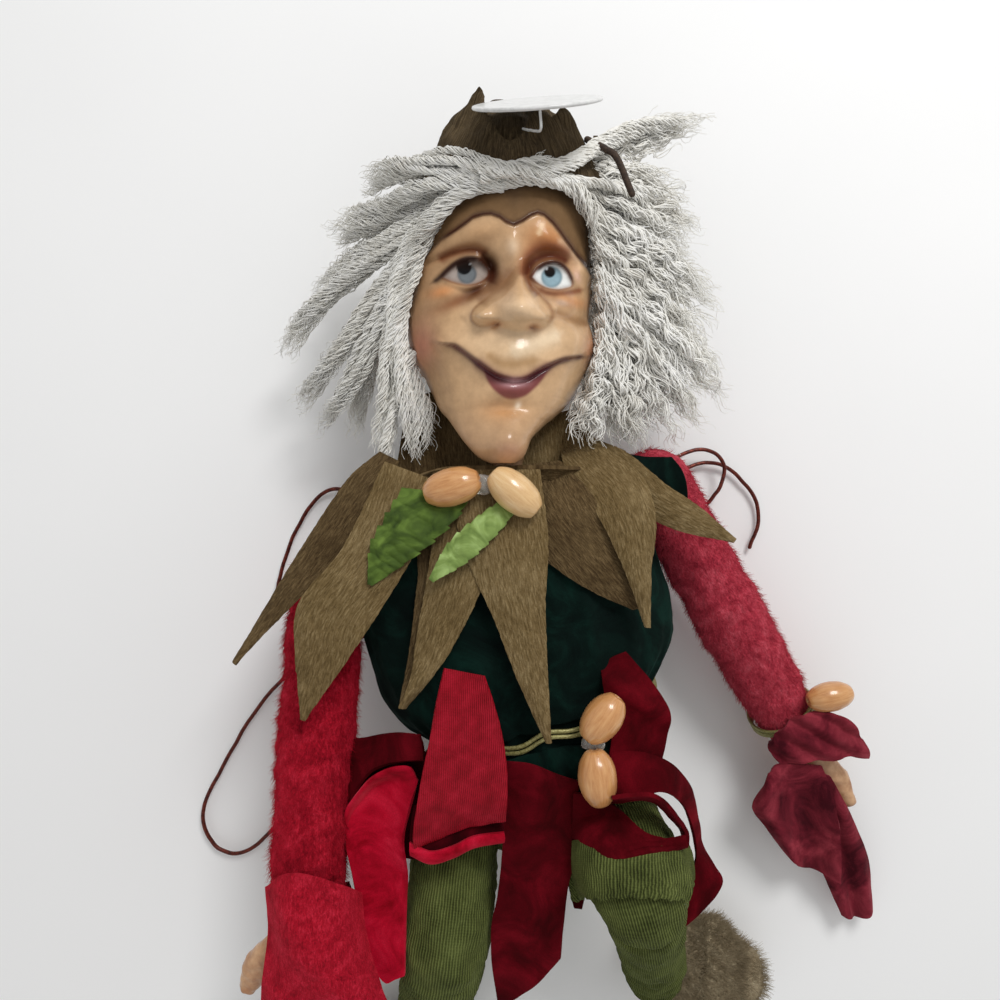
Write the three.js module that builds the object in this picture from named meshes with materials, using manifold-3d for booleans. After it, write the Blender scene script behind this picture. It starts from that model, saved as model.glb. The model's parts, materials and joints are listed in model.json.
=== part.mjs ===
// Elf doll, lying on its back with its knees up.
// A resin head and hands on a wire-stiffened cloth body, dressed in felt, knit and velvet ribbon.
// Millimetres. Origin at the middle of the flat patch on the tunic's back, +Z out of the face,
// +Y towards the hat, +X to the right of someone who looks at the face.

import * as THREE from 'three';
import { mergeVertices } from 'three/addons/utils/BufferGeometryUtils.js';
import Module from 'manifold-3d';

const wasm = await Module();
wasm.setup();

// Fits
const gap = 0.35;
const socketGap = 0.5;
const boreGap = 0.3;
const restCut = 0.5;

// Tunic: a puffy velvet body, drawn in at the belt, that leans to one side
const tunicHalfWidth = 46;
const tunicHalfDepth = 28;
const tunicAbove = 48;
const tunicBelow = 33;
const tunicLean = 16.5;
const tunicSquareness = 2.3;
const shoulderOut = 5;
const shoulderRise = 29;
const tunicFrontZ = tunicHalfDepth * 2 - restCut;
const tunicMiddleZ = tunicHalfDepth - restCut;

// Belt: flat gold elastic in the tunic's drawn-in waist
const beltBelow = 27;
const waistDrawIn = 13;
const waistFlatten = 3;
const beltHalfWidth = tunicHalfWidth - waistDrawIn;
const beltHalfDepth = tunicHalfDepth - waistFlatten;
const beltWidth = 2.4;
const beltThick = 1.2;

// Neck, and the wire that stiffens the body
const neckRadius = 6;
const neckX = -4;
const neckZ = 34;
const neckBottomY = 35;
const neckTopY = 84;
const wireRadius = 1.2;

// Head: a resin casting, its face on +Z
const headHalfWidth = 26;
const headMiddleZ = 30;
const headBackDepth = 25;
const jawForward = 25;
const chinY = 47.6;
const crownY = 139;
const noseHeight = 9.5;

// Hat, its upright petals, and the blank round tag that leans on it
const hatHalfWidth = 25;
const hatHalfDepth = 27;
const hatRise = 29;
const hatBrimY = 124;
const hatMiddleZ = 33;
const hatLean = 1.5;
const petalInward = 0.18;
const feltThick = 1.2;
const tagRadius = 16.5;
const tagThick = 1;
const tagAside = 5.3;
const tagRise = 13.8;
const tagForward = 6.2;
const tagPinRadius = 0.6;
const tagPinInset = 3;
const tagPinReach = 4;
const twigRadius = 1;

// Hair: a cap behind the head, below the plane where the loose locks begin
const hairHalfWidth = 31;
const hairHalfLength = 40;
const hairHalfDepth = 24;
const hairMiddleY = 97;
const hairMiddleZ = 23.5;
const hairCapTopZ = 36;

// Sleeves
const sleeveRadius = 10.8;
const shoulderBall = 11.6;
const elbowBall = 11.8;
const shoulderZ = 28;
const leftShoulderZ = 32;
const upperArmLength = 46;
const forearmLength = 45;
const rightArmHeading = -58.8;
const rightUpperArmDrop = 5;
const rightForearmDrop = 14;
const leftArmHeading = -91.5;
const leftUpperArmRise = 12;
const leftForearmRise = 8;
const handRadius = 4.6;
const bandWide = 4;
const bandThick = 1;
const cuffRadius = sleeveRadius - 0.6;
const cuffSetBack = sleeveRadius * 0.55;

// Legs: rib-knit tubes, knees up and feet turned out
const hipBall = 13.5;
const kneeBall = 13.2;
const ankleBall = 9.6;
const thighRadius = 12.4;
const shinRadius = 11;
const hipZ = 26;
const seatHalfWidth = 33;
const seatHalfLength = 17;
const seatHalfDepth = 21;
const leftHipX = -17;
const leftHipY = -45;
const rightHipX = 22;
const rightHipY = -42;
const thighLength = 43;
const shinLength = 66;
const leftThighHeading = -95.9;
const leftThighRise = 24.7;
const leftShinHeading = -98.8;
const leftShinDrop = 28.6;
const rightThighHeading = -67.4;
const rightThighRise = 60.6;
const rightShinHeading = -75.4;
const rightShinDrop = 41.6;
const shoeLength = 48;
const shoeWidth = 31;
const shoeHeight = 27;

// Joint limits that the hollows leave room for, in degrees
const shoulderIn = 4;
const elbowBendRight = 95;
const elbowBendLeft = 80;
const hipBack = 20;
const leftHipBend = 50;
const rightHipBack = 55;
const rightHipBend = 8;
const leftKneeOpen = 45;
const leftKneeBend = 55;
const rightKneeOpen = 90;
const rightKneeBend = 5;
const ankleSwing = 20;

// Trim
const ribbonWidth = 21.8;
const ribbonThick = 1.1;
const leafThick = 0.8;
const beadLength = 16;
const beadRadius = 5;
const beadHole = 1.5;
const wristBeadLength = 13.6;
const wristBeadRadius = 4.4;
const glueRadius = 2.2;
const wingWireRadius = 0.65;

const colours = {
  tunic: 0x051c1a,
  knit: 0x4d6629,
  felt: 0x705c3a,
  hatFelt: 0x4b3e2a,
  redFelt: 0xbe142d,
  velvet: 0x960014,
  resin: 0xd7aa7d,
  hair: 0xd7d4cd,
  wood: 0xcd9655,
  leaf: 0x5a8c3c,
  gold: 0x96965f,
  wire: 0x5a2319,
  tag: 0xd7d7d4,
  glue: 0xe0ddd0,
  shoe: 0x64553c,
  steel: 0x8d8d90,
};

const doll = new THREE.Group();

const vec = (x, y, z) => new THREE.Vector3(x, y, z);
const radians = THREE.MathUtils.degToRad;
const zAxis = vec(0, 0, 1);

// Solids and booleans

function toSolid(geometry) {
  const bare = geometry.clone();
  bare.deleteAttribute('normal');
  bare.deleteAttribute('uv');
  const merged = mergeVertices(bare, 1e-4);
  const vertProperties = new Float32Array(merged.attributes.position.array);
  const triVerts = new Uint32Array(merged.index.array);
  return new wasm.Manifold(new wasm.Mesh({ numProp: 3, vertProperties, triVerts }));
}

function toGeometry(solid) {
  const mesh = solid.getMesh();
  const geometry = new THREE.BufferGeometry();
  geometry.setAttribute('position', new THREE.BufferAttribute(new Float32Array(mesh.vertProperties), 3));
  geometry.setIndex(new THREE.BufferAttribute(new Uint32Array(mesh.triVerts), 1));
  return geometry;
}

function cut(geometry, ...tools) {
  let solid = toSolid(geometry);
  for (const tool of tools) {
    solid = solid.subtract(toSolid(tool));
  }
  return toGeometry(solid);
}

function join(geometry, ...others) {
  let solid = toSolid(geometry);
  for (const other of others) {
    solid = solid.add(toSolid(other));
  }
  return toGeometry(solid);
}

function turned(geometry, centre, axis, degrees) {
  const copy = geometry.clone();
  copy.translate(-centre.x, -centre.y, -centre.z);
  copy.applyMatrix4(new THREE.Matrix4().makeRotationAxis(axis, radians(degrees)));
  copy.translate(centre.x, centre.y, centre.z);
  return copy;
}

// The room of a ball: its flat facets stay outside the true sphere
function ballRoom(centre, radius, sides = 14) {
  const outside = radius / Math.cos(Math.PI / sides) ** 2;
  const geometry = new THREE.SphereGeometry(outside, sides, Math.round(sides / 2));
  geometry.translate(centre.x, centre.y, centre.z);
  return geometry;
}

// Drops the loose slivers that a cut can leave beside the one real body
function mainBody(geometry) {
  const bodies = toSolid(geometry).decompose();
  bodies.sort((a, b) => b.volume() - a.volume());
  return toGeometry(bodies[0]);
}

function egg(centre, radii, sides = 16) {
  const geometry = new THREE.SphereGeometry(1, sides, Math.round(sides / 2) + 1);
  geometry.scale(radii.x, radii.y, radii.z);
  geometry.translate(centre.x, centre.y, centre.z);
  return geometry;
}

// A box whose face lies on the plane through a point, on the side that the normal points to
function halfSpace(point, normal, reach = 60) {
  const geometry = new THREE.BoxGeometry(reach * 2, reach * 2, reach);
  geometry.translate(0, 0, reach / 2);
  const turn = new THREE.Quaternion().setFromUnitVectors(zAxis, normal.clone().normalize());
  geometry.applyQuaternion(turn);
  geometry.translate(point.x, point.y, point.z);
  return geometry;
}

const belowFloor = halfSpace(vec(0, 0, 0), vec(0, 0, -1), 300);

// Turns the faces outward if the mesh came out inside out
function facingOut(points, index) {
  let volume = 0;
  for (let i = 0; i < index.length; i += 3) {
    const a = points[index[i]];
    const b = points[index[i + 1]];
    const c = points[index[i + 2]];
    volume += a.dot(b.clone().cross(c));
  }
  if (volume < 0) {
    index.reverse();
  }
  const geometry = new THREE.BufferGeometry().setFromPoints(points);
  geometry.setIndex(index);
  return geometry;
}

// A closed skin over rings of points, each end closed to a point
function loft(rings, firstPole, lastPole) {
  const sides = rings[0].length;
  const points = [firstPole, ...rings.flat(), lastPole];
  const last = points.length - 1;
  const index = [];
  for (let i = 0; i < sides; i += 1) {
    const next = (i + 1) % sides;
    index.push(0, 1 + next, 1 + i);
    const start = 1 + (rings.length - 1) * sides;
    index.push(last, start + i, start + next);
    for (let j = 0; j < rings.length - 1; j += 1) {
      const a = 1 + j * sides + i;
      const b = 1 + j * sides + next;
      index.push(a, b, b + sides);
      index.push(a, b + sides, a + sides);
    }
  }
  return facingOut(points, index);
}

function valueAt(list, share) {
  const place = share * (list.length - 1);
  const low = Math.min(Math.floor(place), list.length - 2);
  return THREE.MathUtils.lerp(list[low], list[low + 1], place - low);
}

// A stuffed limb, a lock or a wire: round or oval rings along a path, with domed ends
function limb({ path, wide, deep = wide, up = zAxis, sides = 12, steps = 6, grow = 0 }) {
  const curve = path.length > 2 ? new THREE.CatmullRomCurve3(path) : new THREE.LineCurve3(path[0], path[1]);
  const rings = [];
  const ring = (centre, forward, w, d) => {
    const across = up.clone().cross(forward).normalize();
    const over = forward.clone().cross(across).normalize();
    const points = [];
    for (let i = 0; i < sides; i += 1) {
      const turn = (i / sides) * Math.PI * 2;
      const point = centre.clone();
      point.addScaledVector(across, Math.cos(turn) * w);
      point.addScaledVector(over, Math.sin(turn) * d);
      points.push(point);
    }
    return points;
  };
  const dome = [30, 60];
  const startWay = curve.getTangentAt(0);
  const endWay = curve.getTangentAt(1);
  const startWide = wide[0] + grow;
  const startDeep = deep[0] + grow;
  const endWide = wide.at(-1) + grow;
  const endDeep = deep.at(-1) + grow;
  const startReach = Math.min(startWide, startDeep);
  const endReach = Math.min(endWide, endDeep);
  for (const angle of dome) {
    const back = Math.cos(radians(angle)) * startReach;
    const size = Math.sin(radians(angle));
    const centre = path[0].clone().addScaledVector(startWay, -back);
    rings.push(ring(centre, startWay, startWide * size, startDeep * size));
  }
  for (let i = 0; i <= steps; i += 1) {
    const share = i / steps;
    const w = valueAt(wide, share) + grow;
    const d = valueAt(deep, share) + grow;
    rings.push(ring(curve.getPointAt(share), curve.getTangentAt(share), w, d));
  }
  for (const angle of dome.toReversed()) {
    const on = Math.cos(radians(angle)) * endReach;
    const size = Math.sin(radians(angle));
    const centre = path.at(-1).clone().addScaledVector(endWay, on);
    rings.push(ring(centre, endWay, endWide * size, endDeep * size));
  }
  const firstPole = path[0].clone().addScaledVector(startWay, -startReach);
  const lastPole = path.at(-1).clone().addScaledVector(endWay, endReach);
  return loft(rings, firstPole, lastPole);
}

// A strip of cloth: stations of { centre, across, normal, width }, bowed over its width by crown
function clothFromStations(stations, thick, crown, cells = 4) {
  const points = [];
  for (const { centre, across, normal, width } of stations) {
    for (const side of [1, -1]) {
      for (let k = 0; k <= cells; k += 1) {
        const share = (k / cells) * 2 - 1;
        const point = centre.clone().addScaledVector(across, share * width / 2);
        point.addScaledVector(normal, side * thick / 2 - crown * share * share);
        points.push(point);
      }
    }
  }
  const row = 2 * (cells + 1);
  const under = cells + 1;
  const index = [];
  const quad = (a, b, c, d) => index.push(a, b, c, a, c, d);
  for (let j = 0; j < stations.length - 1; j += 1) {
    const here = j * row;
    const there = here + row;
    for (let k = 0; k < cells; k += 1) {
      quad(here + k, here + k + 1, there + k + 1, there + k);
      quad(here + under + k + 1, here + under + k, there + under + k, there + under + k + 1);
    }
    quad(here + under, here, there, there + under);
    quad(here + cells, here + under + cells, there + under + cells, there + cells);
  }
  const end = (stations.length - 1) * row;
  for (let k = 0; k < cells; k += 1) {
    quad(k + 1, k, under + k, under + k + 1);
    quad(end + k, end + k + 1, end + under + k + 1, end + under + k);
  }
  return facingOut(points, index);
}

function cloth({ path, widths, up, thick, crown = 0, steps = 8, skew = 0, cells = 4 }) {
  const curve = new THREE.CatmullRomCurve3(path);
  const stations = [];
  for (let i = 0; i <= steps; i += 1) {
    const share = i / steps;
    const forward = curve.getTangentAt(share);
    const across = forward.clone().cross(up).normalize();
    const normal = across.clone().cross(forward).normalize();
    const width = valueAt(widths, share);
    const centre = curve.getPointAt(share);
    if (i === steps) {
      across.addScaledVector(forward, skew).normalize();
    }
    stations.push({ centre, across, normal, width });
  }
  return clothFromStations(stations, thick, crown, cells);
}

function bead(centre, axis, length, radius) {
  const profile = [];
  const rows = 5;
  for (let i = 0; i <= rows; i += 1) {
    const along = -length / 2 + (length * i) / rows;
    const swell = Math.sqrt(Math.max(0, 1 - (along / (length / 2 + 0.8)) ** 2));
    profile.push(new THREE.Vector2(Math.max(radius * swell, beadHole + 0.5), along));
  }
  profile.push(new THREE.Vector2(beadHole, length / 2));
  profile.push(new THREE.Vector2(beadHole, -length / 2));
  profile.push(profile[0].clone());
  const geometry = new THREE.LatheGeometry(profile, 10);
  const turn = new THREE.Quaternion().setFromUnitVectors(vec(0, 1, 0), axis.clone().normalize());
  geometry.applyQuaternion(turn);
  geometry.translate(centre.x, centre.y, centre.z);
  return geometry;
}

// A flat elastic band round an oval: centre, the way through it, and two half sizes
function band({ centre, through, over, halfWide, halfDeep, width, thick, sides = 20 }) {
  const across = through.clone().cross(over).normalize();
  const points = [];
  for (let i = 0; i < sides; i += 1) {
    const turn = (i / sides) * Math.PI * 2;
    for (const [out, along] of [[0, -1], [0, 1], [1, 1], [1, -1]]) {
      const point = centre.clone();
      point.addScaledVector(across, Math.cos(turn) * (halfWide + out * thick));
      point.addScaledVector(over, Math.sin(turn) * (halfDeep + out * thick));
      point.addScaledVector(through, along * width / 2);
      points.push(point);
    }
  }
  const index = [];
  for (let i = 0; i < sides; i += 1) {
    const next = (i + 1) % sides;
    for (let k = 0; k < 4; k += 1) {
      const a = i * 4 + k;
      const b = i * 4 + ((k + 1) % 4);
      const c = next * 4 + ((k + 1) % 4);
      const d = next * 4 + k;
      index.push(a, b, c, a, c, d);
    }
  }
  return facingOut(points, index);
}

function add(name, geometry, colour, roughness = 0.9, metalness = 0) {
  geometry.computeVertexNormals();
  const material = new THREE.MeshStandardMaterial({ color: colour, roughness, metalness });
  const mesh = new THREE.Mesh(geometry, material);
  mesh.name = name;
  doll.add(mesh);
}

// The room that a limb sweeps round a hinge: a thick flat fan from its first way to its last
function swingRoom({ centre, axis, forward, least, most, radius, reach, sides = 6 }) {
  const first = forward.clone().applyAxisAngle(axis, radians(least));
  const side = axis.clone().cross(first).normalize();
  const spread = radians(most - least);
  const outline = new THREE.Shape();
  outline.moveTo(0, -radius);
  outline.lineTo(reach, -radius);
  for (let i = 1; i < sides; i += 1) {
    const turn = (i / sides) * spread;
    outline.lineTo(Math.cos(turn) * reach * 1.1, Math.sin(turn) * reach * 1.1);
  }
  const along = vec(Math.cos(spread), Math.sin(spread), 0);
  const over = vec(-along.y, along.x, 0);
  outline.lineTo(along.x * reach + over.x * radius, along.y * reach + over.y * radius);
  outline.lineTo(over.x * radius, over.y * radius);
  const backTurn = Math.PI - spread;
  for (let i = 1; i < 8; i += 1) {
    const turn = spread + Math.PI / 2 + (i / 8) * backTurn;
    outline.lineTo(Math.cos(turn) * radius, Math.sin(turn) * radius);
  }
  const geometry = new THREE.ExtrudeGeometry(outline, { depth: radius * 2, bevelEnabled: false });
  geometry.translate(0, 0, -radius);
  geometry.applyMatrix4(new THREE.Matrix4().makeBasis(first, side, axis));
  geometry.translate(centre.x, centre.y, centre.z);
  return geometry;
}

function way(headingDegrees, riseDegrees) {
  const flat = Math.cos(radians(riseDegrees));
  const x = Math.cos(radians(headingDegrees)) * flat;
  const y = Math.sin(radians(headingDegrees)) * flat;
  return vec(x, y, Math.sin(radians(riseDegrees)));
}

// The hinge axis that lifts a limb with this heading when it turns by a positive angle
function liftAxis(headingDegrees) {
  return way(headingDegrees, 0).cross(zAxis).normalize();
}

function fromTunic(x, y, z) {
  const lean = radians(tunicLean);
  return vec(x * Math.cos(lean) - y * Math.sin(lean), x * Math.sin(lean) + y * Math.cos(lean), z);
}

// Joints

const rightShoulder = fromTunic(tunicHalfWidth + shoulderOut, shoulderRise, shoulderZ);
const leftShoulder = fromTunic(-tunicHalfWidth - shoulderOut, shoulderRise, leftShoulderZ);
const rightUpperWay = way(rightArmHeading, -rightUpperArmDrop);
const rightForeWay = way(rightArmHeading, -rightForearmDrop);
const leftUpperWay = way(leftArmHeading, leftUpperArmRise);
const leftForeWay = way(leftArmHeading, leftForearmRise);
const rightElbow = rightShoulder.clone().addScaledVector(rightUpperWay, upperArmLength);
const leftElbow = leftShoulder.clone().addScaledVector(leftUpperWay, upperArmLength);
const rightWrist = rightElbow.clone().addScaledVector(rightForeWay, forearmLength);
const leftWrist = leftElbow.clone().addScaledVector(leftForeWay, forearmLength);

const leftHip = vec(leftHipX, leftHipY, hipZ);
const rightHip = vec(rightHipX, rightHipY, hipZ);
const leftThighWay = way(leftThighHeading, leftThighRise);
const rightThighWay = way(rightThighHeading, rightThighRise);
const leftShinWay = way(leftShinHeading, -leftShinDrop);
const rightShinWay = way(rightShinHeading, -rightShinDrop);
const leftKnee = leftHip.clone().addScaledVector(leftThighWay, thighLength);
const rightKnee = rightHip.clone().addScaledVector(rightThighWay, thighLength);
const leftAnkle = leftKnee.clone().addScaledVector(leftShinWay, shinLength);
const rightAnkle = rightKnee.clone().addScaledVector(rightShinWay, shinLength);
const rightElbowAxis = liftAxis(rightArmHeading);
const leftElbowAxis = liftAxis(leftArmHeading);
const leftHipAxis = liftAxis(leftThighHeading);
const rightHipAxis = liftAxis(rightThighHeading);

// Limbs

function upperArm(shoulder, elbow, grow = 0, sides = 12) {
  const forward = elbow.clone().sub(shoulder).normalize();
  const tube = limb({
    path: [shoulder.clone(), elbow.clone()],
    wide: [shoulderBall, sleeveRadius, sleeveRadius + 0.4, sleeveRadius],
    sides,
    steps: 4,
    grow,
    up: Math.abs(forward.z) > 0.9 ? vec(0, 1, 0) : zAxis,
  });
  return tube;
}

function forearm(elbow, wrist, grow = 0) {
  const forward = wrist.clone().sub(elbow).normalize();
  const tube = limb({
    path: [elbow.clone(), wrist.clone().addScaledVector(forward, -sleeveRadius * 0.4)],
    wide: [elbowBall, sleeveRadius, sleeveRadius + 0.6, sleeveRadius, sleeveRadius - 1.8],
    steps: 4,
    grow,
  });
  return tube;
}

// Opens the end of a limb round the next one's ball, for the whole swing of that joint
function openEnd(geometry, { centre, near, far, axis, least, most, radius, ballRadius }) {
  const tools = [ballRoom(centre, ballRadius + socketGap)];
  for (const degrees of [least, most]) {
    const next = far.clone().applyAxisAngle(axis, radians(degrees));
    const normal = next.clone().sub(near).normalize();
    const half = near.angleTo(next) / 2;
    const clear = Math.sqrt(Math.max(0, ballRadius ** 2 - radius ** 2));
    const back = Math.max(1, radius * Math.cos(half) - clear * Math.sin(half) + socketGap);
    tools.push(halfSpace(centre.clone().addScaledVector(normal, -back), normal));
  }
  return cut(geometry, ...tools);
}

function thigh(hip, knee, grow = 0) {
  const forward = knee.clone().sub(hip).normalize();
  const tube = limb({
    path: [hip.clone(), knee.clone()],
    wide: [hipBall, thighRadius + 0.4, thighRadius, thighRadius, thighRadius + 0.4],
    steps: 4,
    grow,
    up: Math.abs(forward.z) > 0.8 ? vec(0, 1, 0) : zAxis,
  });
  return tube;
}

function shin(knee, ankle, grow = 0) {
  const tube = limb({
    path: [knee.clone(), ankle.clone()],
    wide: [kneeBall, shinRadius + 0.3, shinRadius, shinRadius - 0.4, shinRadius - 1.2, ankleBall],
    steps: 5,
    grow,
  });
  return tube;
}

// Tunic

const tunicRows = [
  { y: 1, wide: 0.22, deep: 0.3, z: 4 },
  { y: 0.93, wide: 0.5, deep: 0.58, z: 3 },
  { y: 0.8, wide: 0.76, deep: 0.78, z: 2 },
  { y: 0.62, wide: 0.91, deep: 0.92, z: 1 },
  { y: 0.4, wide: 0.98, deep: 0.99, z: 0 },
  { y: 0.1, wide: 1, deep: 1, z: 0 },
  { y: -0.25, wide: 0.99, deep: 1, z: 0 },
  { y: -0.52, wide: 0.91, deep: 0.95, z: 0 },
];

function tunicForm(grow = 0) {
  const rows = tunicRows.map(({ y, wide, deep, z }) => ({
    y: y > 0 ? y * tunicAbove : y * tunicBelow,
    wide: wide * tunicHalfWidth,
    deep: deep * tunicHalfDepth,
    z: tunicMiddleZ + z,
  }));
  const middle = tunicMiddleZ;
  const overBelt = beltWidth * 1.1;
  rows.push({ y: -beltBelow + overBelt, wide: beltHalfWidth + 2.4, deep: beltHalfDepth + 1.2, z: middle });
  rows.push({ y: -beltBelow + beltWidth * 0.6, wide: beltHalfWidth, deep: beltHalfDepth, z: middle });
  rows.push({ y: -beltBelow - beltWidth * 0.6, wide: beltHalfWidth, deep: beltHalfDepth, z: middle });
  rows.push({ y: -tunicBelow + 1.5, wide: beltHalfWidth + 1, deep: beltHalfDepth, z: middle });
  rows.push({ y: -tunicBelow, wide: beltHalfWidth - 4, deep: beltHalfDepth - 4, z: middle });
  const sides = 20;
  const power = 2 / tunicSquareness;
  const rings = rows.map((row) => {
    const points = [];
    for (let i = 0; i < sides; i += 1) {
      const turn = (i / sides) * Math.PI * 2;
      const c = Math.cos(turn);
      const s = Math.sin(turn);
      const x = Math.sign(c) * Math.abs(c) ** power * (row.wide + grow);
      const z = Math.sign(s) * Math.abs(s) ** power * (row.deep + grow) + row.z;
      points.push(fromTunic(x, row.y, z));
    }
    return points;
  });
  const top = fromTunic(0, tunicAbove + 1 + grow, tunicHalfDepth + 4);
  const bottom = fromTunic(0, -tunicBelow - grow, middle);
  return loft(rings, top, bottom);
}

const neckBottom = vec(neckX, neckBottomY, neckZ);
const neckTop = vec(neckX, neckTopY, neckZ);

function neckForm(grow = 0) {
  const height = neckTopY - neckBottomY + grow * 2;
  const geometry = new THREE.CylinderGeometry(neckRadius + grow, neckRadius + grow, height, 16);
  geometry.translate(neckX, (neckTopY + neckBottomY) / 2, neckZ);
  return geometry;
}

const seatMiddle = vec((leftHipX + rightHipX) / 2, (leftHipY + rightHipY) / 2 + 5, hipZ - 1);
const spineTop = neckBottom.clone().add(vec(0, -gap - wireRadius, 0));
const spineBottom = vec(seatMiddle.x, seatMiddle.y + 1, seatMiddle.z);

function spineForm(grow = 0) {
  return limb({ path: [spineTop, spineBottom], wide: [wireRadius, wireRadius], sides: 8, steps: 1, grow });
}

const armSwings = [
  [rightShoulder, rightElbow, -shoulderIn],
  [leftShoulder, leftElbow, shoulderIn],
];
const armCuts = [];
for (const [shoulder, elbow, inward] of armSwings) {
  armCuts.push(ballRoom(shoulder, shoulderBall + socketGap));
  for (const degrees of [inward, 0]) {
    armCuts.push(turned(upperArm(shoulder, elbow, socketGap), shoulder, zAxis, degrees));
  }
}

const legRoom = hipBall + socketGap;
const legCuts = [
  swingRoom({
    centre: leftHip,
    axis: leftHipAxis,
    forward: leftThighWay,
    least: -hipBack,
    most: leftHipBend,
    radius: legRoom,
    reach: thighLength,
  }),
  swingRoom({
    centre: rightHip,
    axis: rightHipAxis,
    forward: rightThighWay,
    least: -rightHipBack,
    most: rightHipBend,
    radius: legRoom,
    reach: thighLength,
  }),
];

const spineBore = spineForm(boreGap);
const tunic = cut(tunicForm(), belowFloor, ...armCuts, neckForm(boreGap), spineBore, ...legCuts);
add('tunic', tunic, colours.tunic);

const beltMiddle = fromTunic(0, -beltBelow, tunicMiddleZ);

function beltForm(grow = 0) {
  return band({
    centre: beltMiddle,
    through: fromTunic(0, 1, 0),
    over: zAxis,
    halfWide: beltHalfWidth * 1.03 + gap - grow,
    halfDeep: beltHalfDepth * 1.03 + gap - grow,
    width: beltWidth + grow * 2,
    thick: beltThick + grow * 2,
    sides: 28,
  });
}

const seatHalf = vec(seatHalfWidth, seatHalfLength, seatHalfDepth);
const seat = cut(egg(seatMiddle, seatHalf, 16), tunicForm(gap), beltForm(gap), ...legCuts, spineBore);
add('pants_seat', mainBody(seat), colours.knit);
add('neck_stem', neckForm(), colours.resin, 0.6);
add('spine_wire', spineForm(), colours.steel, 0.4, 0.8);
add('belt', cut(beltForm(), tunicForm(boreGap), ...legCuts), colours.gold, 0.5, 0.3);

// Head

const faceRows = [
  [0, 0.16, 58], [0.04, 0.38, 61], [0.11, 0.55, 60.4], [0.2, 0.74, 60.6], [0.29, 0.89, 62],
  [0.38, 0.98, 62.4], [0.47, 1, 61.6], [0.56, 1, 60.4], [0.66, 0.99, 61], [0.76, 0.93, 60.4],
  [0.85, 0.8, 56], [0.93, 0.58, 47], [0.98, 0.34, 39],
];

const faceX = (y) => neckX - 0.4 + 0.03 * (y - chinY);

// Features raised or sunk on the face: side offset, height over the chin, amount, half width, half height
const features = [
  [2.6, 41.5, noseHeight, 4.6, 5.2],
  [1.6, 36.5, 4, 8.5, 4],
  [0.6, 52, 3, 3.2, 8],
  [1.2, 29.5, 3.2, 10, 6.5],
  [1.2, 18, 2, 7.5, 2.6],
  [0, 12, -1.6, 8, 2.6],
  [0, 4, 3.4, 5.5, 4.2],
  [-11, 50, -2.6, 6, 4.6],
  [11, 49, -2.6, 6, 4.6],
  [-14, 36, 2.4, 6.5, 6.5],
  [15, 35.5, 2.4, 6.5, 6.5],
];

function headForm(grow = 0) {
  const sides = 26;
  const rows = 18;
  const span = crownY - chinY;
  const rings = [];
  for (let j = 0; j <= rows; j += 1) {
    const share = 0.5 - Math.cos((j / rows) * Math.PI * 0.94 + 0.12) / 2;
    let low = 0;
    while (low < faceRows.length - 2 && faceRows[low + 1][0] < share) {
      low += 1;
    }
    const [s0, w0, f0] = faceRows[low];
    const [s1, w1, f1] = faceRows[low + 1];
    const t = THREE.MathUtils.clamp((share - s0) / (s1 - s0), 0, 1);
    const wide = THREE.MathUtils.lerp(w0, w1, t) * headHalfWidth + grow;
    const face = THREE.MathUtils.lerp(f0, f1, t);
    const y = chinY + share * span;
    const jaw = 1 - THREE.MathUtils.smoothstep(share, 0.02, 0.3);
    const middle = headMiddleZ + jaw * jawForward;
    const backShare = Math.sin(Math.PI * THREE.MathUtils.clamp(0.12 + share * 0.8, 0, 1)) ** 0.6;
    const back = headBackDepth * backShare * (1 - jaw * 0.82) + grow;
    const points = [];
    for (let i = 0; i < sides; i += 1) {
      const turn = (i / sides) * Math.PI * 2;
      const side = Math.sin(turn);
      const out = Math.cos(turn);
      const x = faceX(y) + side * wide;
      const front = face - middle + grow;
      let z = middle + (out > 0 ? Math.abs(out) ** 0.8 * front : out * back);
      if (out > 0) {
        for (const [dx, up, amount, halfWide, halfHigh] of features) {
          const u = (x - faceX(y) - dx) / halfWide;
          const v = (y - chinY - up) / halfHigh;
          z += amount * Math.exp(-u * u - v * v) * Math.min(1, out * 3);
        }
      }
      points.push(vec(x, y, z));
    }
    rings.push(points);
  }
  const lowPole = vec(faceX(chinY), rings[0][0].y - 0.2 - grow, headMiddleZ + jawForward);
  const highPole = vec(faceX(crownY), rings.at(-1)[0].y + 0.5 + grow, headMiddleZ + 4);
  return loft(rings, lowPole, highPole);
}

const headSolid = headForm();
const headRoom = headForm(gap);
add('head', cut(headSolid, neckForm(boreGap)), colours.resin, 0.25);

const hatMiddle = vec(neckX + 2, hatBrimY, hatMiddleZ);
const hatHalf = vec(hatHalfWidth, hatRise, hatHalfDepth);
const underBrim = halfSpace(hatMiddle, vec(0, -1, 0), 90);
add('hat_dome', cut(egg(hatMiddle, hatHalf, 16), underBrim, headRoom), colours.hatFelt);

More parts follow.
